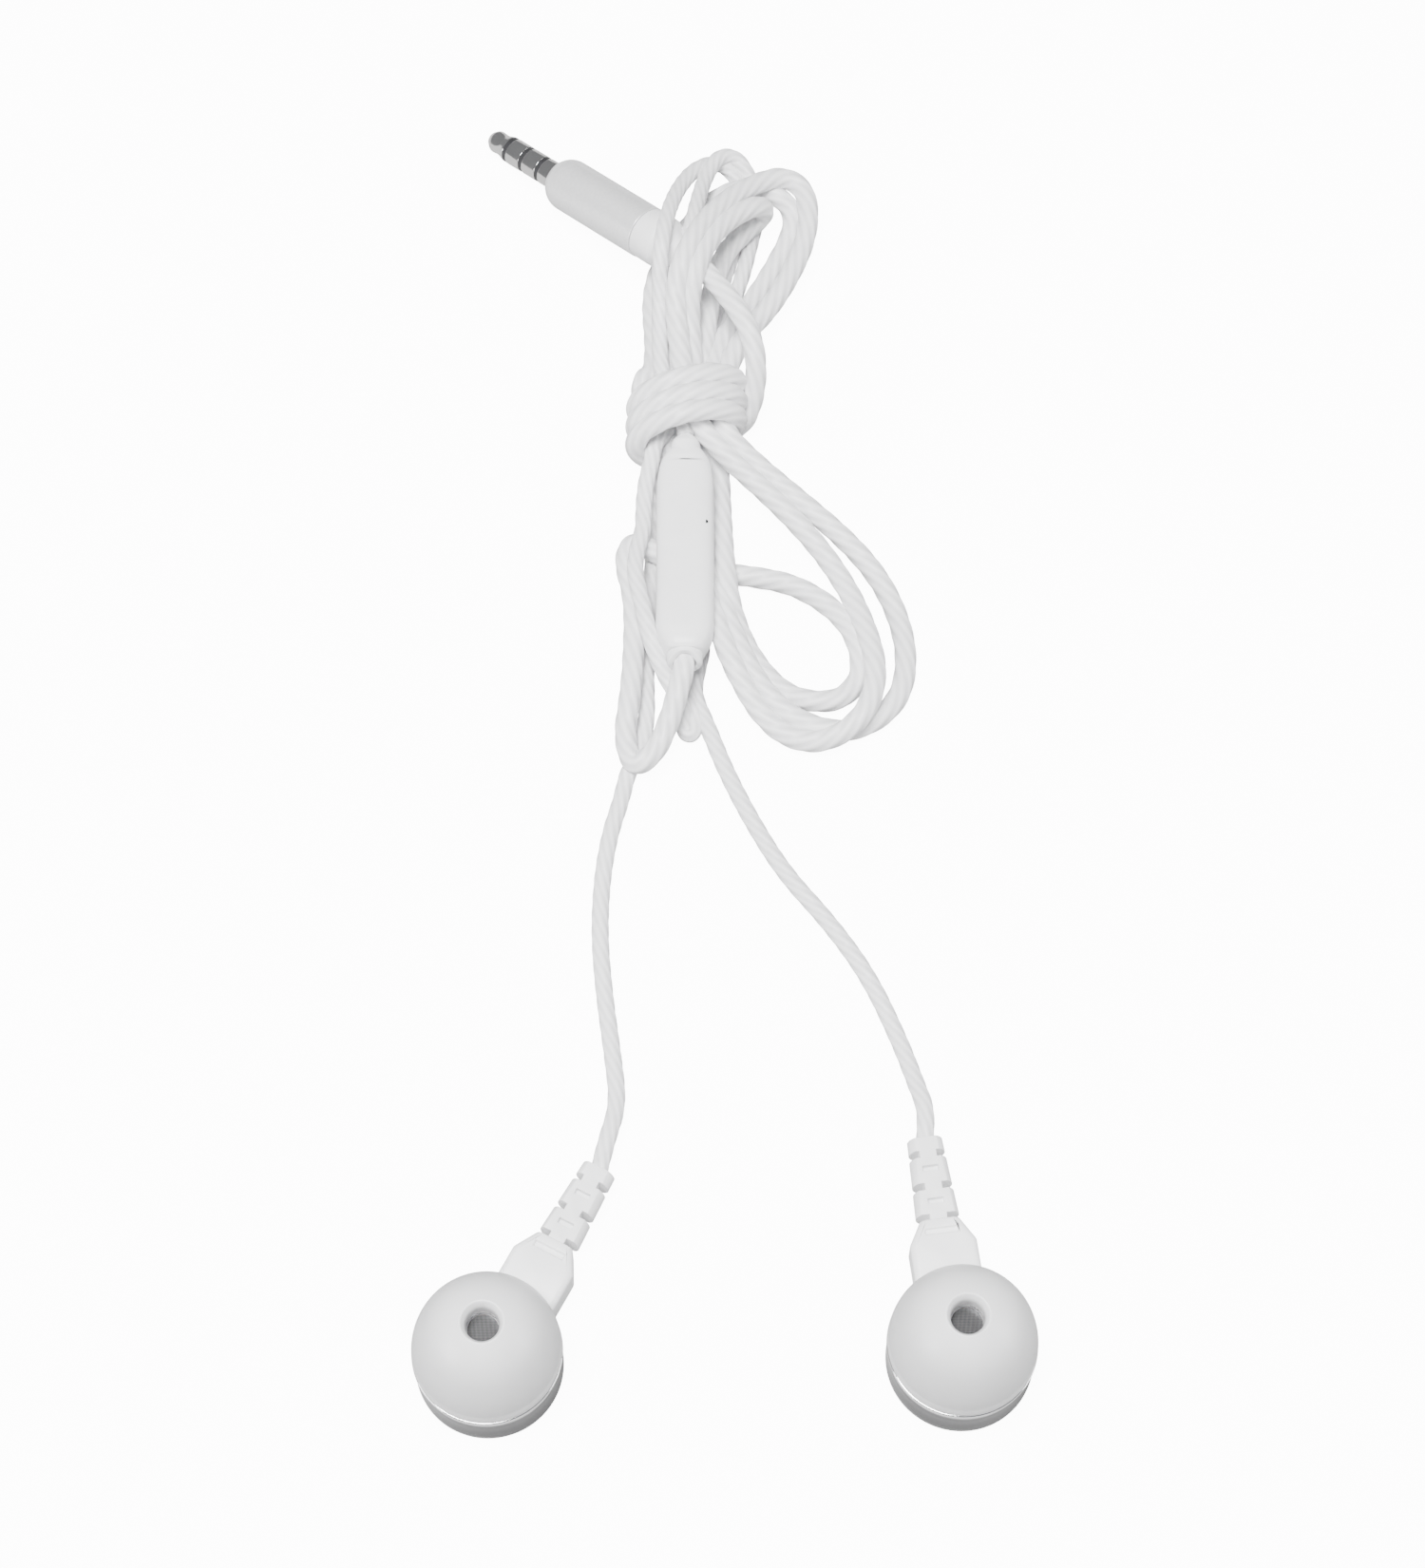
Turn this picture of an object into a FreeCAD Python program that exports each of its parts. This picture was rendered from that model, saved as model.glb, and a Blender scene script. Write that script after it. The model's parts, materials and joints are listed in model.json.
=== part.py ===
"""Wired in-ear earphones with an in-line remote and a four-contact 3.5 mm plug.

Frame: millimetres, +Z up. The earbuds stand on their flat backs on the plane z = 0, side by
side along X. The origin is midway between them, under the middle of their box. +Y runs from
the earbuds towards the plug, and the main cord lies tied in a bundle on the way.
"""

import FreeCAD, Part
import math
import os
import re

import Sketcher

Vector = FreeCAD.Vector
Z_AXIS = Vector(0, 0, 1)

doc = FreeCAD.newDocument("WiredEarphones")
sheet = doc.addObject("Spreadsheet::Sheet", "sizes")

# Driving dimensions in millimetres and degrees: alias and value, group by group.
SIZES = [
    # Where the earbuds stand, and which way their stems point (from +Y, anticlockwise).
    ("left_bud_x", -25.75),
    ("left_bud_y", -8.9),
    ("left_bud_turn", -28.1),
    ("right_bud_x", 25.75),
    ("right_bud_y", -8.1),
    ("right_bud_turn", 7.5),
    # Back shell: a cup that stands on its flat back.
    ("shell_depth", 5.6),
    ("shell_foot_radius", 7.7),
    ("shell_belly_radius", 8.15),
    ("shell_belly_height", 1.0),
    ("shell_radius", 8.05),
    ("shell_wall", 0.8),
    ("shell_toe", 0.25),
    ("shell_inner_round", 0.9),
    # Polished trim ring between the shell and the tip.
    ("trim_radius", 8.25),
    ("trim_bore", 7.1),
    ("trim_top", 6.5),
    # Silicone tip: half an ellipsoid with a sleeve inside it.
    ("tip_foot", 6.65),
    ("tip_radius", 8.2),
    ("tip_rise", 10.35),
    ("tip_wall", 0.7),
    ("sleeve_radius", 3.9),
    ("sleeve_bore", 3.12),
    ("sleeve_foot", 9.0),
    ("sleeve_roof", 14.1),
    ("mouth_radius", 1.8),
    ("mouth_flare", 0.9),
    ("mouth_flare_depth", 1.1),
    # Front shell with the sound nozzle.
    ("nozzle_plate_low", 5.7),
    ("nozzle_radius", 2.75),
    ("nozzle_bore", 2.0),
    ("nozzle_top", 13.2),
    ("nozzle_lip", 0.3),
    ("nozzle_lip_depth", 0.8),
    ("nozzle_ring_bore", 1.7),
    ("nozzle_ring_depth", 0.7),
    ("mesh_depth", 0.15),
    # Moving-coil driver.
    ("basket_radius", 6.75),
    ("basket_bore", 5.9),
    ("basket_low", 2.6),
    ("basket_floor", 0.4),
    ("basket_top", 5.5),
    ("yoke_radius", 3.9),
    ("yoke_wall", 0.6),
    ("yoke_low", 1.9),
    ("yoke_floor", 0.5),
    ("yoke_top", 4.4),
    ("magnet_radius", 2.5),
    ("magnet_depth", 1.5),
    ("top_plate_radius", 2.7),
    ("coil_bore", 2.82),
    ("coil_radius", 3.12),
    ("coil_low", 3.3),
    ("cone_low", 4.85),
    ("cone_skin", 0.1),
    ("cone_radius", 5.8),
    ("cone_dome_rise", 0.3),
    ("terminal_low", 1.25),
    ("terminal_depth", 0.5),
    # Flattened stem and its segmented strain relief.
    ("stem_half_width", 3.75),
    ("stem_low", 0.6),
    ("stem_depth", 4.4),
    ("stem_start", 6.9),
    ("stem_shoulder", 12.25),
    ("stem_end", 14.95),
    ("stem_end_half_width", 2.2),
    ("stem_edge_round", 0.7),
    ("stem_slot_from_lead", 11.3),
    ("relief_end", 24.85),
    ("relief_half_depth", 1.6),
    ("relief_root_radius", 2.5),
    ("relief_tip_radius", 2.0),
    ("relief_neck", 0.95),
    ("notch_from_lead", 2.0),
    ("notch_pitch", 3.85),
    ("notch_gap", 0.8),
    ("face_slot_length", 1.8),
    ("face_slot_gap", 0.65),
    ("face_slot_depth", 0.7),
    # Cords.
    ("lead_radius", 1.0),
    # Remote: place of the lower end's middle, and the casing.
    ("remote_x", -4.65),
    ("remote_y", 77.2),
    ("remote_z", 5.7),
    ("remote_half_width", 3.5),
    ("remote_half_depth", 2.8),
    ("remote_length", 28.1),
    ("remote_taper", 4.0),
    ("remote_neck", 1.85),
    ("remote_corner_width", 1.2),
    ("remote_corner_length", 2.6),
    ("remote_wall", 0.4),
    ("remote_floor", 0.6),
    ("remote_rim", 2.5),
    ("lid_low", 1.8),
    ("pin_hole_radius", 0.25),
    ("pin_hole_x", 2.55),
    ("pin_hole_y", 17.1),
    ("nose_length", 2.1),
    ("nose_end", 1.05),
    ("nose_half_depth", 2.1),
    ("collar_radius", 2.15),
    ("collar_length", 1.3),
    ("board_half_width", 2.7),
    ("board_start", 4.0),
    ("board_length", 20.0),
    ("board_depth", 0.8),
    ("switch_y", 14.0),
    ("switch_size", 3.6),
    ("switch_depth", 1.1),
    ("plunger_radius", 0.8),
    ("plunger_room", 0.08),
    ("button_half_width", 1.45),
    ("button_half_length", 3.45),
    ("button_room", 0.08),
    ("button_proud", 0.2),
    ("button_flange", 0.4),
    ("button_flange_depth", 0.3),
    ("button_lift", 0.05),
    ("microphone_radius", 1.5),
    ("microphone_depth", 1.2),
    # Plug: lengths are from the end of the tip, along its axis.
    ("plug_x", -30.1),
    ("plug_y", 156.3),
    ("plug_z", 1.6),
    ("plug_heading", -43.1),
    ("plug_tilt", 11.9),
    ("plug_radius", 1.75),
    ("tip_nose_radius", 1.5),
    ("tip_waist_radius", 1.38),
    ("rod_radius", 0.45),
    ("liner_radius", 0.75),
    ("contact_pitch", 3.0),
    ("first_insulator", 3.6),
    ("insulator_width", 0.6),
    ("shaft_length", 14.0),
    ("bright_end", 12.1),
    ("root_radius", 1.35),
    ("flange_radius", 2.6),
    ("flange_depth", 1.0),
    ("barrel_start", 12.3),
    ("barrel_end", 28.7),
    ("barrel_radius", 3.4),
    ("barrel_bore", 2.7),
    ("barrel_round", 1.4),
    ("tab_end", 18.5),
    ("core_end", 24.0),
    ("cord_collar_end", 32.0),
    ("cord_tail_end", 36.2),
    ("cord_tail_radius", 1.7),
    # Bundle heights.
    ("tie_height", 11.6),
    ("inner_runs_height", 2.6),
    ("left_loop_height", 7.0),
    ("right_loops_height", 9.0),
    ("top_loops_height", 13.5),
    ("bundle_side_height", 5.2),
]

for row, (alias, number) in enumerate(SIZES, start=1):
    sheet.set(f"A{row}", alias)
    sheet.set(f"B{row}", str(number))
    sheet.setAlias(f"B{row}", alias)
doc.recompute()
ALIASES = {alias for alias, _ in SIZES}


def size(alias):
    """One driving dimension, read from the sheet."""
    return float(sheet.get(alias))


def bound(text):
    """Turns names of sizes in an expression into references to the sheet's cells."""
    return re.sub(r"[a-z_]+", lambda word: "sizes." + word[0] if word[0] in ALIASES else word[0], str(text))


def closed_sketch(body, plane, corners):
    """A closed outline of straight lines whose corners are bound to the sheet."""
    sketch = body.newObject("Sketcher::SketchObject", body.Name + "_outline")
    face = [feature for feature in body.Origin.OriginFeatures if feature.Role == plane][0]
    sketch.AttachmentSupport = [(face, "")]
    sketch.MapMode = "FlatFace"
    count = len(corners)
    angles = [2 * math.pi * index / count for index in range(count)]
    start = [Vector(math.cos(angle), math.sin(angle), 0) for angle in angles]
    for index in range(count):
        sketch.addGeometry(Part.LineSegment(start[index], start[(index + 1) % count]), False)
    for index in range(count):
        sketch.addConstraint(Sketcher.Constraint("Coincident", index, 2, (index + 1) % count, 1))
    for index, corner in enumerate(corners):
        for kind, axis, text in zip(("DistanceX", "DistanceY"), (-2, -1), corner):
            if str(text) == "0":
                sketch.addConstraint(Sketcher.Constraint("PointOnObject", index, 1, axis))
                continue
            rule = sketch.addConstraint(Sketcher.Constraint(kind, -1, 1, index, 1, 1.0))
            sketch.setExpression(f"Constraints[{rule}]", bound(text))
    return sketch


def turned(label, corners):
    """A body turned about Z from (radius, height) corners."""
    body = doc.addObject("PartDesign::Body", label)
    sketch = closed_sketch(body, "XZ_Plane", corners)
    turn = body.newObject("PartDesign::Revolution", label + "_turn")
    turn.Profile = sketch
    turn.ReferenceAxis = (sketch, ["V_Axis"])
    turn.Angle = 360
    return body


def ring(label, bore, radius, low, high):
    """A turned ring of rectangular section, or a disc where the bore is 0."""
    return turned(label, [(bore, low), (radius, low), (radius, high), (bore, high)])


def padded(label, corners, low, high):
    """A plan outline padded in Z from low to high."""
    body = doc.addObject("PartDesign::Body", label)
    sketch = closed_sketch(body, "XY_Plane", corners)
    sketch.setExpression(".AttachmentOffset.Base.z", bound(low))
    pad = body.newObject("PartDesign::Pad", label + "_pad")
    pad.Profile = sketch
    pad.setExpression("Length", bound(f"({high}) - ({low})"))
    return body


def cut_across(body, plane, corners):
    """Cuts an outline drawn on an origin plane right through the body, both ways."""
    sketch = closed_sketch(body, plane, corners)
    pocket = body.newObject("PartDesign::Pocket", body.Name + "_cut")
    pocket.Profile = sketch
    pocket.Type = "ThroughAll"
    pocket.SideType = "Symmetric"
    return body


def rounded(body, radius, wanted):
    """Rounds the edges of the body for which wanted(edge) is true."""
    doc.recompute()
    base = body.Tip
    names = [f"Edge{index + 1}" for index, edge in enumerate(base.Shape.Edges) if wanted(edge)]
    fillet = body.newObject("PartDesign::Fillet", body.Name + "_round")
    fillet.Base = (base, names)
    fillet.setExpression("Radius", bound(radius))
    return body


def bind(thing, **texts):
    """Binds properties of a Part primitive to the sheet; x, y and z are its place."""
    for name, text in texts.items():
        path = ".Placement.Base." + name if name in "xyz" else name
        thing.setExpression(path, bound(text))
    return thing


def box(label, low, high):
    """A Part::Box between two corners, each given as three expressions."""
    made = doc.addObject("Part::Box", label)
    sides = [f"({top}) - ({bottom})" for bottom, top in zip(low, high)]
    bind(made, Length=sides[0], Width=sides[1], Height=sides[2])
    return bind(made, x=low[0], y=low[1], z=low[2])


def cylinder(label, radius, low, high):
    """A Part::Cylinder about Z."""
    made = doc.addObject("Part::Cylinder", label)
    return bind(made, Radius=radius, Height=f"({high}) - ({low})", z=low)


def boolean(kind, label, base, tool):
    """A Part::Cut, Part::Fuse or Part::Common of two objects."""
    made = doc.addObject("Part::" + kind, label)
    made.Base = base
    made.Tool = tool
    return made


nodes = {}


def keep(label, thing, placement=None):
    """Registers a finished sub-part under its label, at its place.

    A primitive's own place is bound to the sheet, so it is moved inside a compound.
    """
    if placement and thing.TypeId in ("Part::Box", "Part::Cylinder"):
        thing.Label = label + "_shape"
        holder = doc.addObject("Part::Compound", label + "_holder")
        holder.Links = [thing]
        thing = holder
    thing.Label = label
    if placement:
        thing.Placement = placement
    nodes[label] = thing


# ---------------------------------------------------------------- earbuds


def back_shell(name):
    """Polished cup with a rounded toe, and a window in its side for the stem."""
    corners = [
        ("0", "0"),
        ("shell_foot_radius", "0"),
        ("shell_foot_radius + shell_toe", "shell_toe"),
        ("shell_belly_radius", "shell_belly_height"),
        ("shell_radius", "shell_belly_height + 1.6"),
        ("shell_radius", "shell_depth"),
        ("shell_radius - shell_wall", "shell_depth"),
        ("shell_radius - shell_wall", "shell_belly_height + 1.6"),
        ("shell_radius - shell_wall - shell_inner_round", "shell_wall"),
        ("0", "shell_wall"),
    ]
    cup = turned(name + "_cup", corners)
    window_low = ("-stem_half_width", "stem_start - 1", "stem_low")
    window_high = ("stem_half_width", "shell_radius + 1", "stem_low + stem_depth")
    window = box(name + "_window", window_low, window_high)
    return boolean("Cut", name, cup, window)


def ear_tip(name):
    """Half-ellipsoid dome with a sleeve for the nozzle and a flared sound mouth."""
    top = "tip_foot + tip_rise"
    domes = []
    for which, wall in (("outer", "0"), ("inner", "tip_wall")):
        dome = doc.addObject("Part::Ellipsoid", f"{name}_{which}")
        dome.Angle1 = 0
        bind(dome, Radius1=f"tip_rise - {wall}", Radius2=f"tip_radius - {wall}", z="tip_foot")
        domes.append(dome)
    skin = boolean("Cut", name + "_skin", *domes)
    post = cylinder(name + "_post", "sleeve_radius", "sleeve_foot", top)
    sleeve = boolean("Common", name + "_sleeve", post, domes[0])
    solid = boolean("Fuse", name + "_solid", skin, sleeve)
    socket = cylinder(name + "_socket", "sleeve_bore", "tip_foot", "sleeve_roof")
    mouth = cylinder(name + "_mouth", "mouth_radius", "tip_foot", top + " + 1")
    flare = doc.addObject("Part::Cone", name + "_flare")
    flare_foot = top + " - mouth_flare_depth"
    wide = "mouth_radius + mouth_flare"
    bind(flare, Radius1="mouth_radius", Radius2=wide, Height="mouth_flare_depth", z=flare_foot)
    passage = doc.addObject("Part::MultiFuse", name + "_passage")
    passage.Shapes = [socket, mouth, flare]
    return boolean("Cut", name, solid, passage)


def nozzle_shell(name):
    """Front plate with the sound tube and its retaining lip."""
    lip = "nozzle_radius + nozzle_lip"
    lip_foot = "nozzle_top - nozzle_lip_depth"
    corners = [
        ("nozzle_bore", "nozzle_plate_low"),
        ("trim_bore", "nozzle_plate_low"),
        ("trim_bore", "trim_top"),
        ("nozzle_radius", "trim_top"),
        ("nozzle_radius", lip_foot),
        (lip, lip_foot),
        (lip, "nozzle_top"),
        ("nozzle_bore", "nozzle_top"),
    ]
    return turned(name, corners)


def driver_frame(name):
    """Basket: an open ring with a floor that the yoke passes through."""
    floor_top = "basket_low + basket_floor"
    corners = [
        ("yoke_radius", "basket_low"),
        ("basket_radius", "basket_low"),
        ("basket_radius", "basket_top"),
        ("basket_bore", "basket_top"),
        ("basket_bore", floor_top),
        ("yoke_radius", floor_top),
    ]
    return turned(name, corners)


def yoke(name):
    """Steel pot round the magnet."""
    wall = "yoke_radius - yoke_wall"
    floor_top = "yoke_low + yoke_floor"
    corners = [
        ("0", "yoke_low"),
        ("yoke_radius", "yoke_low"),
        ("yoke_radius", "yoke_top"),
        (wall, "yoke_top"),
        (wall, floor_top),
        ("0", floor_top),
    ]
    return turned(name, corners)


def diaphragm(name):
    """Thin film: a low dome inside the coil and a flat surround."""
    rise = "cone_low + cone_dome_rise"
    corners = [
        ("0", rise),
        ("coil_bore", "cone_low"),
        ("cone_radius", "cone_low"),
        ("cone_radius", "cone_low + cone_skin"),
        ("coil_bore", "cone_low + cone_skin"),
        ("0", rise + " + cone_skin"),
    ]
    return turned(name, corners)


def stem_housing(name):
    """Flattened stem with chamfered shoulders, a wire room and a slot across its shoulder."""
    half = "stem_half_width"
    plan = [
        ("-" + half, "stem_start"),
        (half, "stem_start"),
        (half, "stem_shoulder"),
        ("stem_end_half_width", "stem_end"),
        ("-stem_end_half_width", "stem_end"),
        ("-" + half, "stem_shoulder"),
    ]
    body = padded(name + "_block", plan, "stem_low", "stem_low + stem_depth")
    start = size("stem_start")
    end = size("stem_end")

    def is_long_edge(edge):
        middle = edge.BoundBox.Center
        return start + 0.1 < middle.y < end - 0.1 and abs(middle.x) > 0.1

    rounded(body, "stem_edge_round", is_long_edge)
    room_low = ("-stem_end_half_width", "stem_start - 1", "stem_low + 1.2")
    room_high = ("stem_end_half_width", "stem_shoulder", "stem_low + stem_depth - 1.2")
    room = box(name + "_room", room_low, room_high)
    slot_y = "relief_end - stem_slot_from_lead"
    slot_low = ("-face_slot_length", slot_y + " - face_slot_gap / 2", "stem_low + stem_depth - 0.4")
    slot_high = ("face_slot_length", slot_y + " + face_slot_gap / 2", "stem_low + stem_depth + 1")
    slot = box(name + "_slot", slot_low, slot_high)
    tools = boolean("Fuse", name + "_tools", room, slot)
    return boolean("Cut", name, body, tools)


def strain_relief(name):
    """Tapered round-sided bar with side notches, and slots between them on its faces."""
    middle_z = "stem_low + stem_depth / 2"
    wide = "relief_root_radius + 0.2"
    right = [("relief_neck", "stem_end"), ("relief_neck", "stem_end + notch_gap")]
    right.append((wide, "stem_end + notch_gap"))
    centres = [f"relief_end - notch_from_lead - {turns} * notch_pitch" for turns in (1, 0)]
    for centre in centres:
        low = centre + " - notch_gap / 2"
        high = centre + " + notch_gap / 2"
        right += [(wide, low), ("relief_neck", low), ("relief_neck", high), (wide, high)]
    right.append((wide, "relief_end"))
    left = [(f"-({x})", y) for x, y in reversed(right)]
    bottom = middle_z + " - relief_half_depth"
    top = middle_z + " + relief_half_depth"
    bar = padded(name + "_bar", right + left, bottom, top)
    taper = doc.addObject("Part::Cone", name + "_taper")
    taper.Placement.Rotation = FreeCAD.Rotation(Vector(1, 0, 0), -90)
    bind(taper, Radius1="relief_root_radius", Radius2="relief_tip_radius")
    bind(taper, Height="relief_end - stem_end", y="stem_end", z=middle_z)
    blank = boolean("Common", name + "_blank", bar, taper)
    slots = []
    for turns in (0, 1):
        slot_y = f"relief_end - notch_from_lead - ({turns} + 0.45) * notch_pitch"
        for face, low, high in (
            ("upper", top + " - face_slot_depth", top + " + 1"),
            ("lower", bottom + " - 1", bottom + " + face_slot_depth"),
        ):
            corner_low = ("-face_slot_length / 2", slot_y + " - face_slot_gap / 2", low)
            corner_high = ("face_slot_length / 2", slot_y + " + face_slot_gap / 2", high)
            slots.append(box(f"{name}_{face}_slot_{turns}", corner_low, corner_high))
    all_slots = doc.addObject("Part::MultiFuse", name + "_slots")
    all_slots.Shapes = slots
    return boolean("Cut", name, blank, all_slots)


def earbud(side):
    """All the pieces of one earbud, stood at its place."""
    base = Vector(size(side + "_bud_x"), size(side + "_bud_y"), 0)
    place = FreeCAD.Placement(base, FreeCAD.Rotation(Z_AXIS, size(side + "_bud_turn")))
    magnet_low = "yoke_low + yoke_floor"
    magnet_top = magnet_low + " + magnet_depth"
    mesh_low = "nozzle_top - mesh_depth"
    terminal_low = ("-2.5", "-1.5", "terminal_low")
    terminal_high = ("2.5", "1.5", "terminal_low + terminal_depth")
    makers = {
        "ear_tip": ear_tip,
        "nozzle_shell": nozzle_shell,
        "nozzle_ring": lambda name: ring(
            name, "nozzle_ring_bore", "nozzle_radius", "nozzle_top", "nozzle_top + nozzle_ring_depth"
        ),
        "mesh_screen": lambda name: ring(name, "0", "nozzle_bore", mesh_low, "nozzle_top"),
        "trim_ring": lambda name: ring(name, "trim_bore", "trim_radius", "shell_depth", "trim_top"),
        "back_shell": back_shell,
        "driver_frame": driver_frame,
        "yoke": yoke,
        "magnet": lambda name: ring(name, "0", "magnet_radius", magnet_low, magnet_top),
        "top_plate": lambda name: ring(name, "0", "top_plate_radius", magnet_top, "yoke_top"),
        "voice_coil": lambda name: ring(name, "coil_bore", "coil_radius", "coil_low", "cone_low"),
        "diaphragm": diaphragm,
        "terminal_board": lambda name: box(name, terminal_low, terminal_high),
        "stem_housing": stem_housing,
        "strain_relief": strain_relief,
    }
    for piece, make in makers.items():
        label = f"{side}_{piece}"
        keep(label, make(label), place)


# ---------------------------------------------------------------- remote


def casing_outline(inset):
    """Plan of the casing, from its lower end up: cut corners, straight sides, a taper."""
    half = f"remote_half_width - {inset}"
    right = [
        (f"{half} - remote_corner_width", inset),
        (half, f"remote_corner_length + {inset}"),
        (half, "remote_length - remote_taper"),
        (f"{half} - 0.45", "remote_length - remote_taper / 2"),
        (f"remote_neck - {inset}", f"remote_length - {inset}"),
    ]
    left = [(f"-({x})", y) for x, y in reversed(right)]
    return right + left


def remote_back_shell(name):
    """Tub: floor, walls and the hole that the button comes through."""
    tub = padded(name + "_tub", casing_outline("0"), "-remote_half_depth", "remote_rim")
    inside = padded(
        name + "_inside", casing_outline("remote_wall"), "-remote_half_depth + remote_floor", "remote_rim + 1"
    )
    hole_low = ("-button_half_width", "switch_y - button_half_length", "-remote_half_depth - 1")
    hole_high = ("button_half_width", "switch_y + button_half_length", "0")
    hole = box(name + "_hole", hole_low, hole_high)
    room = boolean("Fuse", name + "_room", inside, hole)
    return boolean("Cut", name, tub, room)


def remote_front_shell(name):
    """Lid let in between the tub's walls, with the microphone's pin hole."""
    lid = padded(name + "_lid", casing_outline("remote_wall"), "lid_low", "remote_half_depth")
    pin_hole = cylinder(name + "_pin_hole", "pin_hole_radius", "0", "remote_half_depth + 1")
    bind(pin_hole, x="pin_hole_x", y="pin_hole_y")
    return boolean("Cut", name, lid, pin_hole)


def remote_button(name):
    """Cap that stands a little proud of the tub's floor, with a flange that keeps it in."""
    floor_top = "-remote_half_depth + remote_floor + button_lift"
    cap_low = ("-button_half_width + button_room", "switch_y - button_half_length + button_room")
    cap_high = ("button_half_width - button_room", "switch_y + button_half_length - button_room")
    cap = box(name + "_cap", (*cap_low, "-remote_half_depth - button_proud"), (*cap_high, floor_top))
    flange_low = ("-button_half_width - button_flange", "switch_y - button_half_length - button_flange")
    flange_high = ("button_half_width + button_flange", "switch_y + button_half_length + button_flange")
    flange_top = floor_top + " + button_flange_depth"
    flange = box(name + "_flange", (*flange_low, floor_top), (*flange_high, flange_top))
    return boolean("Fuse", name, cap, flange)


def remote():
    """The in-line remote, where the main cord divides into the two leads."""
    base = Vector(size("remote_x"), size("remote_y"), size("remote_z"))
    place = FreeCAD.Placement(base, FreeCAD.Rotation())
    keep("remote_back_shell", remote_back_shell("remote_back_shell"), place)
    keep("remote_front_shell", remote_front_shell("remote_front_shell"), place)
    keep("remote_button", remote_button("remote_button"), place)

    board_low = ("-board_half_width", "board_start", "-board_depth / 2")
    board_high = ("board_half_width", "board_start + board_length", "board_depth / 2")
    keep("remote_board", box("remote_board", board_low, board_high), place)

    switch_foot = "-board_depth / 2 - switch_depth"
    case_low = ("-switch_size / 2", "switch_y - switch_size / 2", switch_foot)
    case_high = ("switch_size / 2", "switch_y + switch_size / 2", "-board_depth / 2")
    case = box("switch_case", case_low, case_high)
    guide = cylinder("switch_guide", "plunger_radius + plunger_room", switch_foot, switch_foot + " + 0.9")
    bind(guide, y="switch_y")
    keep("remote_switch_body", boolean("Cut", "remote_switch_body", case, guide), place)

    flange_top = "-remote_half_depth + remote_floor + button_lift + button_flange_depth"
    plunger = cylinder("remote_switch_plunger", "plunger_radius", flange_top, switch_foot + " + 0.5")
    keep("remote_switch_plunger", bind(plunger, y="switch_y"), place)

    capsule_top = "board_depth / 2 + microphone_depth"
    capsule = cylinder("remote_microphone", "microphone_radius", "board_depth / 2", capsule_top)
    keep("remote_microphone", bind(capsule, x="pin_hole_x - microphone_radius", y="pin_hole_y"), place)

    nose_plan = [
        ("-remote_neck", "remote_length"),
        ("remote_neck", "remote_length"),
        ("nose_end", "remote_length + nose_length"),
        ("-nose_end", "remote_length + nose_length"),
    ]
    nose = padded("remote_top_relief", nose_plan, "-nose_half_depth", "nose_half_depth")
    keep("remote_top_relief", nose, place)

    collar = doc.addObject("Part::Cylinder", "remote_bottom_relief")
    collar.Placement.Rotation = FreeCAD.Rotation(Vector(1, 0, 0), 90)
    bind(collar, Radius="collar_radius", Height="collar_length")
    keep("remote_bottom_relief", collar, place)


# ---------------------------------------------------------------- plug


def plug_placement():
    """Stands the plug's axis, which is Z in its own frame, along its heading and tilt."""
    heading = math.radians(size("plug_heading"))
    tilt = math.radians(size("plug_tilt"))
    level = math.cos(tilt)
    axis = Vector(level * math.cos(heading), level * math.sin(heading), math.sin(tilt))
    base = Vector(size("plug_x"), size("plug_y"), size("plug_z"))
    return FreeCAD.Placement(base, FreeCAD.Rotation(Z_AXIS, axis))


def insulator_low(turns):
    """Where one of the three visible insulators starts."""
    return f"first_insulator + {turns} * contact_pitch"


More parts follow.
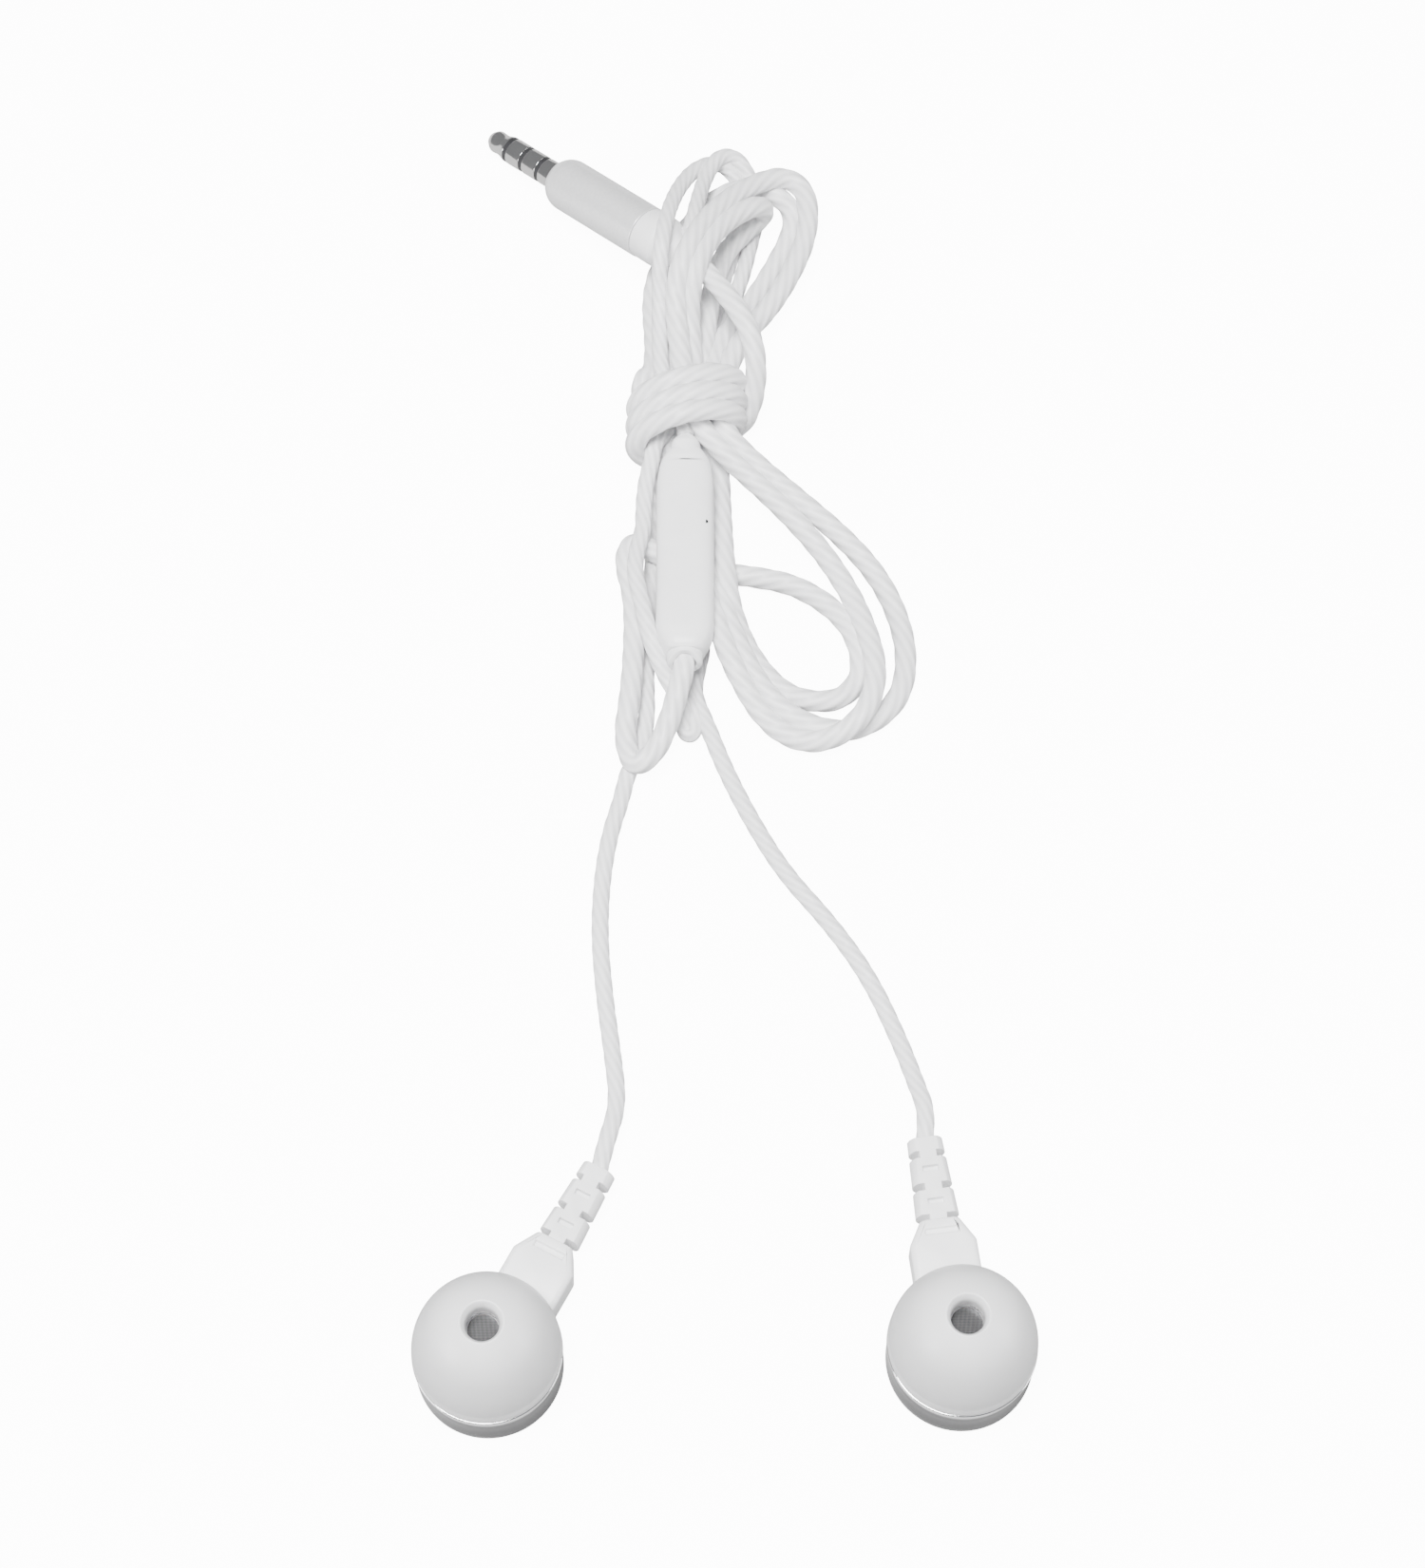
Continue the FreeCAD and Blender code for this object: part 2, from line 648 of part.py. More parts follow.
def plug():
    """The plug, built along Z from the end of its tip."""
    place = plug_placement()
    tip_corners = [
        ("0", "0"),
        ("tip_nose_radius - 0.55", "0.12"),
        ("tip_nose_radius", "0.9"),
        ("tip_nose_radius", "1.5"),
        ("tip_waist_radius", "2.5"),
        ("plug_radius", "first_insulator"),
        ("rod_radius", "first_insulator"),
        ("rod_radius", "tab_end"),
        ("0", "tab_end"),
    ]
    keep("plug_tip", turned("plug_tip", tip_corners), place)
    for turns, label in enumerate(("plug_ring_front", "plug_ring_rear")):
        low = insulator_low(turns) + " + insulator_width"
        keep(label, ring(label, "liner_radius", "plug_radius", low, insulator_low(turns + 1)), place)

    last = insulator_low(2) + " + insulator_width"
    sleeve_corners = [
        ("liner_radius", last),
        ("plug_radius", last),
        ("plug_radius", "bright_end"),
        ("root_radius", "bright_end"),
        ("root_radius", "shaft_length"),
        ("flange_radius", "shaft_length"),
        ("flange_radius", "shaft_length + flange_depth"),
        ("liner_radius", "shaft_length + flange_depth"),
    ]
    keep("plug_sleeve", turned("plug_sleeve", sleeve_corners), place)

    comb = [("rod_radius", "first_insulator")]
    for turns in range(3):
        low = insulator_low(turns)
        high = low + " + insulator_width"
        if turns:
            comb.append(("liner_radius", low))
        comb += [("plug_radius", low), ("plug_radius", high), ("liner_radius", high)]
    comb += [("liner_radius", "shaft_length + flange_depth + 1")]
    comb += [("rod_radius", "shaft_length + flange_depth + 1")]
    keep("plug_insulators", turned("plug_insulators", comb), place)

    barrel_corners = [
        ("root_radius", "barrel_start"),
        ("barrel_radius - barrel_round", "barrel_start"),
        ("barrel_radius - barrel_round * 0.3", "barrel_start + barrel_round * 0.3"),
        ("barrel_radius", "barrel_start + barrel_round"),
        ("barrel_radius", "barrel_end"),
        ("barrel_bore", "barrel_end"),
        ("barrel_bore", "shaft_length"),
        ("root_radius", "shaft_length"),
    ]
    keep("plug_barrel", turned("plug_barrel", barrel_corners), place)

    tabs = []
    for side, low_x, high_x in (("near", "1.2", "1.6"), ("far", "-1.6", "-1.2")):
        low = (low_x, "-0.7", "shaft_length + flange_depth")
        tabs.append(box(f"plug_tab_{side}", low, (high_x, "0.7", "tab_end")))
    group = doc.addObject("Part::Compound", "plug_solder_tabs")
    group.Links = tabs
    keep("plug_solder_tabs", group, place)

    keep("plug_core", ring("plug_core", "0", "barrel_bore", "tab_end", "core_end"), place)
    collar_corners = [
        ("0", "core_end"),
        ("barrel_bore", "core_end"),
        ("barrel_bore", "barrel_end"),
        ("barrel_radius - 0.05", "barrel_end"),
        ("barrel_radius - 0.05", "cord_collar_end"),
        ("cord_tail_radius + 0.5", "cord_collar_end + 1.2"),
        ("cord_tail_radius", "cord_tail_end"),
        ("0", "cord_tail_end"),
    ]
    keep("plug_collar", turned("plug_collar", collar_corners), place)
    return place


# ---------------------------------------------------------------- cords

# Each lead runs from its remote end, inside the bundle, to its strain relief. The last point
# of each is worked out from the earbud, and so is the one before it, straight out of it.
LEFT_LEAD = [
    (-11.4, 64.0, 1.0),
    (-12.2, 60.0, 1.0),
    (-13.4, 56.0, 1.0),
    (-14.3, 50.0, 1.0),
    (-14.5, 42.5, 1.0),
    (-13.8, 35.0, 1.0),
    (-12.8, 28.0, 1.0),
    (-12.0, 21.5, 1.6),
]
RIGHT_LEAD = [
    (-3.6, 74.2, 1.0),
    (-1.9, 70.0, 1.0),
    (0.1, 64.4, 1.0),
    (3.1, 57.8, 1.0),
    (7.1, 50.6, 1.0),
    (12.3, 44.3, 1.0),
    (16.8, 37.4, 1.0),
    (20.2, 29.2, 1.0),
    (21.8, 24.0, 1.6),
]
STRAIGHT_OUT = 3.4


def lead_exit(side):
    """The last two points of a lead: a short way out of the strain relief, and its end face."""
    turn = math.radians(size(side + "_bud_turn"))
    outwards = Vector(-math.sin(turn), math.cos(turn), 0)
    base = Vector(size(side + "_bud_x"), size(side + "_bud_y"), size("stem_low") + size("stem_depth") / 2)
    end = base + outwards * size("relief_end")
    return [end + outwards * STRAIGHT_OUT, end]


def arc_runs(points):
    """A wire of straight runs joined by tangent arcs, and the radii of the arcs."""
    edges = []
    radii = []
    here = points[0]
    for before, corner, after in zip(points, points[1:], points[2:]):
        back = before - corner
        onward = after - corner
        reach = 0.45 * min(back.Length, onward.Length)
        half_turn = (math.pi - back.getAngle(onward)) / 2
        radius = reach / math.tan(half_turn)
        back.normalize()
        onward.normalize()
        start = corner + back * reach
        finish = corner + onward * reach
        inwards = (back + onward).normalize()
        middle = corner + inwards * (radius / math.cos(half_turn) - radius)
        edges.append(Part.LineSegment(here, start).toShape())
        edges.append(Part.Arc(start, middle, finish).toShape())
        radii.append(radius)
        here = finish
    edges.append(Part.LineSegment(here, points[-1]).toShape())
    return Part.Wire(edges), radii


def lead(side, route):
    """A round tube along a lead's route, checked against its section times its length."""
    points = [Vector(*point) for point in route] + lead_exit(side)
    path, radii = arc_runs(points)
    radius = size("lead_radius")
    circle = Part.Wire(Part.Circle(points[0], points[1] - points[0], radius).toShape())
    tube = path.makePipeShell([circle], True, False)
    expected = math.pi * radius**2 * path.Length
    if abs(tube.Volume / expected - 1) > 0.01:
        raise RuntimeError(f"{side} lead: volume {tube.Volume:.1f}, expected {expected:.1f}")
    print(f"{side}_lead: {path.Length:.1f} mm, arc radii", [round(value, 1) for value in radii])
    made = doc.addObject("Part::Feature", side + "_lead")
    made.Shape = tube
    keep(side + "_lead", made, FreeCAD.Placement())


# Plans of the bundle's stretches, in the earphones' own frame. Neighbours share edges.
TIE_PLAN = [
    (-12.3, 102.7),
    (-7.0, 107.4),
    (-2.3, 107.4),
    (3.2, 108.5),
    (3.2, 115.5),
    (-2.0, 116.2),
    (-12.3, 110.8),
]
TOP_LOOPS_PLAN = [
    (-12.3, 110.8),
    (-2.0, 116.2),
    (3.2, 115.5),
    (7.4, 121.0),
    (9.0, 128.0),
    (13.6, 140.0),
    (13.0, 147.5),
    (7.5, 152.5),
    (1.0, 155.0),
    (-6.0, 151.0),
    (-10.8, 138.0),
    (-12.3, 126.0),
]
RIGHT_LOOPS_PLAN = [
    (-0.8, 75.9),
    (2.0, 70.0),
    (7.5, 64.8),
    (13.5, 62.8),
    (21.0, 67.5),
    (24.6, 75.5),
    (24.0, 84.0),
    (18.0, 96.5),
    (6.0, 108.0),
    (3.2, 108.5),
    (-0.8, 107.7),
]
INNER_RUNS_PLAN = [
    (-8.3, 75.9),
    (-0.8, 75.9),
    (-0.8, 107.7),
    (-2.3, 107.4),
    (-7.0, 107.4),
    (-8.3, 106.2),
]
LEFT_LOOP_PLAN = [
    (-13.6, 63.5),
    (-10.0, 61.5),
    (-5.5, 66.0),
    (-2.6, 72.0),
    (-2.6, 75.9),
    (-8.3, 75.9),
    (-8.3, 106.2),
    (-12.3, 102.7),
    (-13.6, 94.0),
]


def bundle():
    """Plain solids of the tied bundle's outer shape: the tie, the loops and the inner runs."""
    tie = padded("hank_tie", TIE_PLAN, "0", "tie_height")
    side_low = "tie_height * 0.3"
    side_high = "tie_height * 0.7"
    for edge_x, slope in ((-12.3, 1), (3.2, -1)):
        inner_x = edge_x + 3.6 * slope
        outer_x = edge_x - slope
        upper = [(outer_x, side_high), (edge_x, side_high), (inner_x, "tie_height")]
        upper.append((outer_x, "tie_height + 1"))
        lower = [(outer_x, side_low), (edge_x, side_low), (inner_x, "0"), (outer_x, "-1")]
        cut_across(tie, "XZ_Plane", upper)
        cut_across(tie, "XZ_Plane", lower)
    keep("hank_tie", tie)

    top = padded("hank_top_stock", TOP_LOOPS_PLAN, "0", "top_loops_height")
    over_top = [(140.0, "top_loops_height"), (156.0, 6.0), (156.0, "top_loops_height + 1")]
    cut_across(top, "YZ_Plane", over_top + [(140.0, "top_loops_height + 1")])
    socket = ring("hank_top_socket", "0", "barrel_radius + 0.1", "barrel_start", "cord_tail_end")
    socket.Placement = plug_placement()
    keep("hank_top_loops", boolean("Cut", "hank_top_loops", top, socket))

    right = padded("hank_right_loops", RIGHT_LOOPS_PLAN, "0", "right_loops_height")
    falling = [(108.5, "right_loops_height"), (98.0, "bundle_side_height"), (62.0, "bundle_side_height")]
    falling += [(62.0, "right_loops_height + 1"), (108.5, "right_loops_height + 1")]
    keep("hank_right_loops", cut_across(right, "YZ_Plane", falling))

    keep("hank_inner_runs", padded("hank_inner_runs", INNER_RUNS_PLAN, "0", "inner_runs_height"))

    left = padded("hank_left_loop", LEFT_LOOP_PLAN, "0", "left_loop_height")
    above = [(75.5, "left_loop_height"), (78.0, "bundle_side_height"), (107.0, "bundle_side_height")]
    above += [(107.0, "left_loop_height + 1"), (75.5, "left_loop_height + 1")]
    keep("hank_left_loop", cut_across(left, "YZ_Plane", above))


# ---------------------------------------------------------------- build, check and write

for bud_side in ("left", "right"):
    earbud(bud_side)
remote()
plug()
lead("left", LEFT_LEAD)
lead("right", RIGHT_LEAD)
bundle()
doc.recompute()

for thing in doc.Objects:
    if "Invalid" in thing.State or "Error" in thing.State:
        raise RuntimeError(f"{thing.Name} failed: {thing.State}")
for label, thing in nodes.items():
    if thing.Shape.isNull() or not thing.Shape.isValid() or not thing.Shape.Solids:
        raise RuntimeError(f"{label} has no valid solid")

os.makedirs("parts", exist_ok=True)
for label, thing in nodes.items():
    thing.Shape.exportStep(f"parts/{label}.step")
print(len(nodes), "sub-parts written")
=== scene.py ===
# %% [markdown]
# # Wired earphones, one piece at a time
#
# This lesson dresses a packed engineering model of a pair of wired earphones. The frame is loaded
# first. It brings in every plain solid at its true place, in metres, and from then on nothing of it
# may move. We add the soft cord, the smooth shells and the finishes round it.

# %% Load the frame
import json
import math

import bmesh
import bpy
import numpy as np
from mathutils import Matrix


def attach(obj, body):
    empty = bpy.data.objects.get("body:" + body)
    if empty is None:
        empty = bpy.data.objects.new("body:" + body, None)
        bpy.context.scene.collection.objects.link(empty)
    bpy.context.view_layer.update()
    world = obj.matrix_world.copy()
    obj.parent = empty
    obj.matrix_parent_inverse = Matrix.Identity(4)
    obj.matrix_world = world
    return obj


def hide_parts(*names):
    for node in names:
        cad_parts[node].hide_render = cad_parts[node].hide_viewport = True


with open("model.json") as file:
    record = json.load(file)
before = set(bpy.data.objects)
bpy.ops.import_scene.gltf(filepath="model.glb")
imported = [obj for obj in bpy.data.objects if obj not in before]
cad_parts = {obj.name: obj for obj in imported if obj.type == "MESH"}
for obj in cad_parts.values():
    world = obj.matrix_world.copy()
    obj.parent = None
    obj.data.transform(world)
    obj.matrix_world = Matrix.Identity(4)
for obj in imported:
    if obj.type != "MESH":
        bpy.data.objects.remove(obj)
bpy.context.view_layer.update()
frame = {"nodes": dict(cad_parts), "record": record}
MM = 0.001
nodes = frame["nodes"]
print("nodes in the frame:", len(nodes))

# %% [markdown]
# ## The camera
#
# The camera stands high above the earbuds and looks down over them towards the plug. A long lens
# keeps the perspective gentle. Placing the camera first means that every later piece can be judged
# in the view that matters. The turn about X is what is left between straight down and the view's
# height above the horizon.

# %% Place the camera
scene = bpy.context.scene
VIEW_HEIGHT = 63.5
lens_data = bpy.data.cameras.new("long_lens")
lens_data.lens = 80.0
lens_data.sensor_width = 36.0
lens_data.clip_start = 0.01
lens_data.clip_end = 20.0
camera = bpy.data.objects.new("camera", lens_data)
camera.location = (-1.34 * MM, -122.33 * MM, 371.4 * MM)
camera.rotation_euler = (math.radians(90 - VIEW_HEIGHT), 0, 0)
scene.collection.objects.link(camera)
scene.camera = camera
print("camera at", tuple(round(c, 3) for c in camera.location))

# %% [markdown]
# ## Writing surfaces into meshes
#
# Most pieces here are a grid of points that numpy works out in one go: one direction runs along a
# profile, the other runs round it. This helper joins neighbouring grid points into four-sided
# faces, closes the grid round, and merges rows that have shrunk to one point, so poles are closed.
# A second map, "strip", remembers how far along and how far round each corner is. The cord's
# pattern follows it.

# %% Grid to mesh
def grid_mesh(name, points, closed_along=False, distance=None, smooth_angle=40):
    """Builds a mesh from points[i, j]: i runs along the profile and j runs round, which closes.

    Each face joins (i, j), (i, j+1), (i+1, j+1), (i+1, j). The strip map is (distance[i], j / count).
    """
    rows, count = points.shape[:2]
    numbers = np.arange(rows * count).reshape(rows, count)
    if closed_along:
        numbers = np.vstack([numbers, numbers[:1]])
    numbers = np.hstack([numbers, numbers[:, :1]])
    corners = (numbers[:-1, :-1], numbers[:-1, 1:], numbers[1:, 1:], numbers[1:, :-1])
    faces = np.stack(corners, axis=-1).reshape(-1, 4)
    mesh = bpy.data.meshes.new(name)
    mesh.from_pydata(points.reshape(-1, 3), [], faces.tolist())
    if distance is not None:
        along = np.asarray(distance)
        step = numbers.shape[0] - 1
        low = np.repeat(along[:step], count)
        high = np.repeat(along[1 : step + 1], count)
        near = np.tile(np.arange(count) / count, step)
        far = near + 1 / count
        pairs = np.stack([low, near, low, far, high, far, high, near], axis=-1)
        mesh.uv_layers.new(name="strip").data.foreach_set("uv", pairs.ravel())
    return finish_mesh(name, mesh, smooth_angle)


def finish_mesh(name, mesh, smooth_angle):
    """Merges doubled points, turns the faces outwards, smooths them and links the object."""
    work = bmesh.new()
    work.from_mesh(mesh)
    bmesh.ops.remove_doubles(work, verts=work.verts, dist=1e-7)
    bmesh.ops.recalc_face_normals(work, faces=work.faces)
    work.to_mesh(mesh)
    work.free()
    mesh.shade_smooth()
    mesh.set_sharp_from_angle(angle=math.radians(smooth_angle))
    piece = bpy.data.objects.new(name, mesh)
    scene.collection.objects.link(piece)
    return piece


# %% [markdown]
# ## The cord's line
#
# The main cord is wound into a small bundle: three long loops above the wrap, three below it, and
# four turns round the middle. Each strand is a row of control points, and Blender's own NURBS curve
# of order three runs smoothly past them. The points are listed stretch by stretch, in millimetres,
# from the plug to the remote. Only the turns of the wrap repeat, so only they come from a loop.

# %% The wrap's turns
WRAP_MIDDLE = (-4.55, 106.55, 5.8)
WRAP_HALF_WIDTH = 6.25
WRAP_HALF_HEIGHT = 4.55
WRAP_PITCH = 2.6
WRAP_LEAN = 0.2
POINTS_A_TURN = 12


def wrap_turns(first, last):
    """A flattened helix: width by cosine, height by sine, moving on by one pitch a turn.

    Control points stand a little outside the curve that they make, by 1 / cos(half a step).
    """
    middle_x, middle_y, middle_z = WRAP_MIDDLE
    grow = 1 / math.cos(math.pi / POINTS_A_TURN)
    turns = []
    for number in range(first, last):
        turn = number / POINTS_A_TURN
        across = WRAP_HALF_WIDTH * grow * math.cos(2 * math.pi * turn)
        height = WRAP_HALF_HEIGHT * grow * math.sin(2 * math.pi * turn)
        onward = WRAP_PITCH * turn + WRAP_LEAN * across
        turns.append((middle_x + across, middle_y + onward, middle_z - height))
    return turns


WRAP = wrap_turns(3, 42)
print("points in the wrap:", len(WRAP))

# %% The main cord's stretches
FROM_PLUG = [
    (-4.2, 132.1, 9.1), (-3.2, 131.3, 9.3), (-1.3, 128.7, 9.4), (0.6, 125.9, 9.8), (2.4, 123.0, 9.6),
    (3.6, 120.2, 9.0), (4.1, 117.4, 7.6), (4.0, 115.1, 5.6), (3.4, 113.3, 3.6), (2.2, 111.8, 1.8),
]
LOW_TOP_LOOP = [
    (-10.2, 116.4, 5.2), (-8.7, 118.4, 4.2), (-8.6, 123.6, 3.0), (-9.1, 129.6, 2.2), (-8.5, 134.6, 1.8),
    (-6.7, 138.5, 1.6), (-4.2, 142.7, 1.6), (-1.2, 146.0, 2.4), (2.7, 147.2, 3.4), (6.2, 146.0, 4.2),
    (9.1, 143.7, 3.3), (8.8, 140.5, 2.2), (6.9, 136.6, 1.6), (4.8, 132.6, 1.4), (2.3, 128.3, 1.9),
    (0.0, 124.2, 3.2), (-1.7, 117.7, 5.0), (-1.2, 112.5, 6.4),
]
OUTER_RIGHT_LOOP = [
    (-0.5, 109.9, 6.6), (0.8, 107.5, 5.8), (4.5, 104.1, 4.6), (9.4, 100.1, 3.4), (14.3, 95.9, 2.4),
    (18.3, 91.4, 1.6), (20.9, 86.2, 1.3), (22.2, 80.3, 1.3), (21.6, 74.6, 1.3), (18.8, 70.9, 1.3),
    (14.6, 69.0, 1.4), (10.3, 69.8, 1.6), (6.6, 72.1, 2.0), (3.9, 75.4, 2.6), (1.8, 79.7, 3.4),
    (0.2, 84.5, 3.6), (-0.9, 90.4, 2.6), (-1.5, 96.8, 1.4), (-2.0, 103.7, 1.3), (-2.8, 108.6, 3.2),
    (-2.2, 110.0, 3.6), (0.2, 114.0, 4.6),
]
WIDE_TOP_LOOP = [
    (0.4, 117.2, 5.8), (1.6, 121.1, 5.2), (3.3, 124.7, 4.2), (5.8, 128.2, 3.6), (8.4, 132.9, 3.7),
    (10.4, 137.8, 4.0), (11.1, 142.4, 4.6), (10.3, 146.1, 4.9), (7.6, 147.5, 5.4), (4.1, 145.4, 6.6),
    (0.6, 141.6, 8.6), (-2.3, 136.8, 10.6), (-4.3, 132.3, 11.8), (-5.6, 128.5, 11.3), (-6.0, 125.6, 9.6),
    (-5.7, 121.4, 8.4), (-4.9, 115.8, 7.9), (-4.2, 111.5, 7.8),
]
MIDDLE_RIGHT_LOOP = [
    (-2.9, 108.6, 6.8), (0.4, 105.0, 5.6), (4.9, 101.1, 4.4), (9.2, 96.9, 3.2), (12.8, 92.4, 2.4),
    (15.7, 87.1, 2.2), (17.6, 81.2, 3.0), (18.4, 76.2, 3.6), (17.5, 71.5, 3.8), (14.7, 68.3, 3.0),
    (10.9, 67.4, 1.6), (7.2, 68.6, 1.4), (4.3, 71.4, 2.0), (2.3, 74.6, 3.2), (0.7, 77.8, 4.0),
    (-0.7, 82.1, 4.2), (-1.6, 87.8, 3.0), (-3.1, 94.7, 1.5), (-4.9, 102.3, 1.3), (-7.0, 108.4, 3.4),
    (-6.4, 110.0, 4.4), (-4.6, 114.0, 5.6),
]
NARROW_TOP_LOOP = [
    (-3.8, 117.0, 6.2), (-4.1, 122.6, 6.6), (-4.2, 126.1, 9.0), (-3.6, 128.7, 11.2), (-2.3, 132.7, 10.8),
    (-0.5, 136.5, 9.6), (1.7, 139.3, 8.4), (4.1, 141.4, 7.4), (5.3, 142.3, 5.6), (5.1, 142.4, 3.6),
    (3.5, 141.2, 3.0), (1.6, 139.0, 3.2), (0.0, 136.4, 3.4), (-1.1, 132.6, 3.8), (-2.1, 126.4, 4.2),
    (-2.6, 118.0, 4.6), (-2.6, 112.0, 3.8),
]
INNER_RIGHT_LOOP = [
    (-1.1, 109.0, 3.4), (-0.5, 105.3, 2.0), (-0.3, 99.0, 2.2), (0.2, 89.4, 3.6), (1.2, 83.6, 3.0),
    (3.5, 78.5, 2.0), (6.9, 74.6, 1.3), (10.3, 73.2, 1.3), (14.0, 73.4, 1.3), (16.5, 76.2, 1.3),
    (16.6, 80.1, 1.3), (15.2, 83.9, 1.3), (12.2, 87.1, 1.3), (8.3, 89.5, 1.3), (3.8, 90.5, 1.3),
    (-1.1, 91.1, 1.3), (-5.4, 91.7, 1.3),
]
INTO_REMOTE = [
    (-8.7, 93.2, 3.1), (-11.1, 94.4, 3.3), (-12.2, 91.7, 3.3), (-10.8, 86.4, 3.2), (-10.8, 78.4, 3.4),
    (-11.2, 72.6, 3.4), (-11.9, 67.9, 2.6), (-10.8, 63.8, 2.4), (-8.3, 65.1, 3.2), (-6.6, 68.7, 4.2),
    (-5.4, 72.8, 5.2), (-4.65, 75.9, 5.7), (-4.65, 77.4, 5.7),
]
FROM_PLUG_TO_REMOTE = (
    FROM_PLUG + WRAP + LOW_TOP_LOOP + OUTER_RIGHT_LOOP + WIDE_TOP_LOOP
    + MIDDLE_RIGHT_LOOP + NARROW_TOP_LOOP + INNER_RIGHT_LOOP + INTO_REMOTE
)
MAIN_ROUTE = FROM_PLUG_TO_REMOTE[::-1]
print("main cord control points:", len(MAIN_ROUTE))

# %% The two thin leads
RIGHT_ROUTE = [
    (-4.65, 107.4, 6.7), (-4.9, 109.5, 6.8), (-6.4, 113.0, 6.6), (-7.8, 116.7, 6.6), (-7.9, 122.4, 7.0),
    (-7.9, 126.7, 8.6), (-7.9, 130.0, 11.4), (-7.6, 133.5, 12.2), (-6.9, 138.6, 10.3), (-5.7, 144.0, 7.6),
    (-3.7, 148.7, 5.2), (-1.0, 150.9, 3.8), (1.2, 150.2, 2.8), (2.7, 147.3, 1.8), (3.0, 143.9, 1.1),
    (1.8, 140.1, 1.0), (0.7, 136.6, 1.0), (-0.5, 132.1, 1.1), (-1.3, 125.8, 1.8), (-3.4, 114.5, 4.2),
    (-6.2, 110.0, 5.0), (-8.5, 107.1, 5.6), (-8.8, 104.7, 5.4), (-9.4, 102.2, 5.2), (-9.7, 99.8, 5.0),
    (-9.8, 97.3, 4.8), (-9.8, 94.9, 5.0), (-10.5, 92.0, 5.6), (-10.8, 88.7, 6.0), (-10.0, 85.0, 6.0),
    (-9.3, 81.6, 5.8), (-8.4, 78.4, 5.2), (-7.3, 75.9, 4.2), (-5.9, 73.8, 2.8), (-4.9, 72.6, 1.6),
    (-4.7, 68.9, 1.0), (-3.5, 69.0, 1.0), (-3.3, 72.2, 1.0), (-4.7, 77.0, 1.0), (-6.6, 80.6, 1.0),
    (-6.0, 84.4, 1.0), (-2.8, 84.6, 1.0), (-2.5, 80.4, 1.0), (-3.3, 77.0, 1.0), (-3.6, 74.2, 1.0),
    (-1.9, 70.0, 1.0), (0.1, 64.4, 1.0), (3.1, 57.8, 1.0), (7.1, 50.6, 1.0), (12.3, 44.3, 1.0),
    (16.8, 37.4, 1.0), (20.2, 29.2, 1.0), (21.8, 24.0, 1.6), (22.95, 19.91, 2.8), (22.51, 16.54, 2.8),
]
LEFT_ROUTE = [
    (-4.65, 107.4, 4.7), (-4.7, 109.5, 4.9), (-5.2, 113.0, 5.2), (-6.0, 117.5, 5.4), (-6.5, 124.0, 5.6),
    (-6.2, 128.0, 6.6), (-5.6, 130.7, 8.6), (-4.8, 133.6, 9.4), (-4.0, 137.4, 8.8), (-3.2, 142.2, 7.4),
    (-2.3, 147.1, 5.6), (-0.7, 151.0, 4.8), (1.5, 151.8, 3.8), (3.1, 150.0, 3.0), (4.2, 147.1, 1.8),
    (4.3, 143.1, 1.2), (3.4, 139.2, 1.1), (2.6, 135.4, 1.0), (1.2, 130.7, 1.0), (-0.1, 126.0, 1.2),
    (-3.6, 114.0, 3.6), (-6.8, 109.5, 4.0), (-8.8, 108.3, 3.6), (-9.0, 105.8, 3.0), (-8.8, 103.3, 2.4),
    (-8.7, 100.8, 2.0), (-8.7, 98.2, 1.4), (-8.7, 95.5, 1.0), (-8.7, 92.0, 1.0), (-8.8, 88.0, 1.0),
    (-9.1, 84.0, 1.0), (-9.4, 79.7, 1.0), (-9.3, 75.1, 1.0), (-9.2, 71.3, 1.0), (-9.7, 67.8, 1.0),
    (-10.6, 64.9, 1.0), (-11.4, 64.0, 1.0), (-12.2, 60.0, 1.0), (-13.4, 56.0, 1.0), (-14.3, 50.0, 1.0),
    (-14.5, 42.5, 1.0), (-13.8, 35.0, 1.0), (-12.8, 28.0, 1.0), (-12.0, 21.5, 1.6), (-13.35, 16.34, 2.8),
    (-14.05, 13.02, 2.8),
]
print("lead control points:", len(RIGHT_ROUTE), "and", len(LEFT_ROUTE))

# %% [markdown]
# ## Twisted cord from a line
#
# The real cord is a soft sleeve drawn over strands that twist round each other, so its outline is
# not a plain circle: low lobes wind slowly round it. A plain bevelled curve cannot do that. We let
# Blender turn the control points into a smooth line, read the line's points back, and carry a
# lobed circle along them. The circle is kept from spinning by always dropping the part of the last
# direction that points along the line.

# %% Lines and lobed tubes
def smooth_line(name, route):
    """The NURBS line past the route's points, as points in metres read back from Blender."""
    curve = bpy.data.curves.new(name + "_line", "CURVE")
    curve.dimensions = "3D"
    curve.resolution_u = 16
    spline = curve.splines.new("NURBS")
    spline.points.add(len(route) - 1)
    flat = np.hstack([np.array(route) * MM, np.ones((len(route), 1))])
    spline.points.foreach_set("co", flat.ravel())
    spline.order_u = 3
    spline.use_endpoint_u = True
    holder = bpy.data.objects.new(name + "_line", curve)
    mesh = bpy.data.meshes.new_from_object(holder)
    points = np.empty(len(mesh.vertices) * 3)
    mesh.vertices.foreach_get("co", points)
    bpy.data.meshes.remove(mesh)
    bpy.data.objects.remove(holder)
    bpy.data.curves.remove(curve)
    return points.reshape(-1, 3)


def unit(vectors):
    """Each vector divided by its length."""
    return vectors / np.linalg.norm(vectors, axis=-1, keepdims=True)


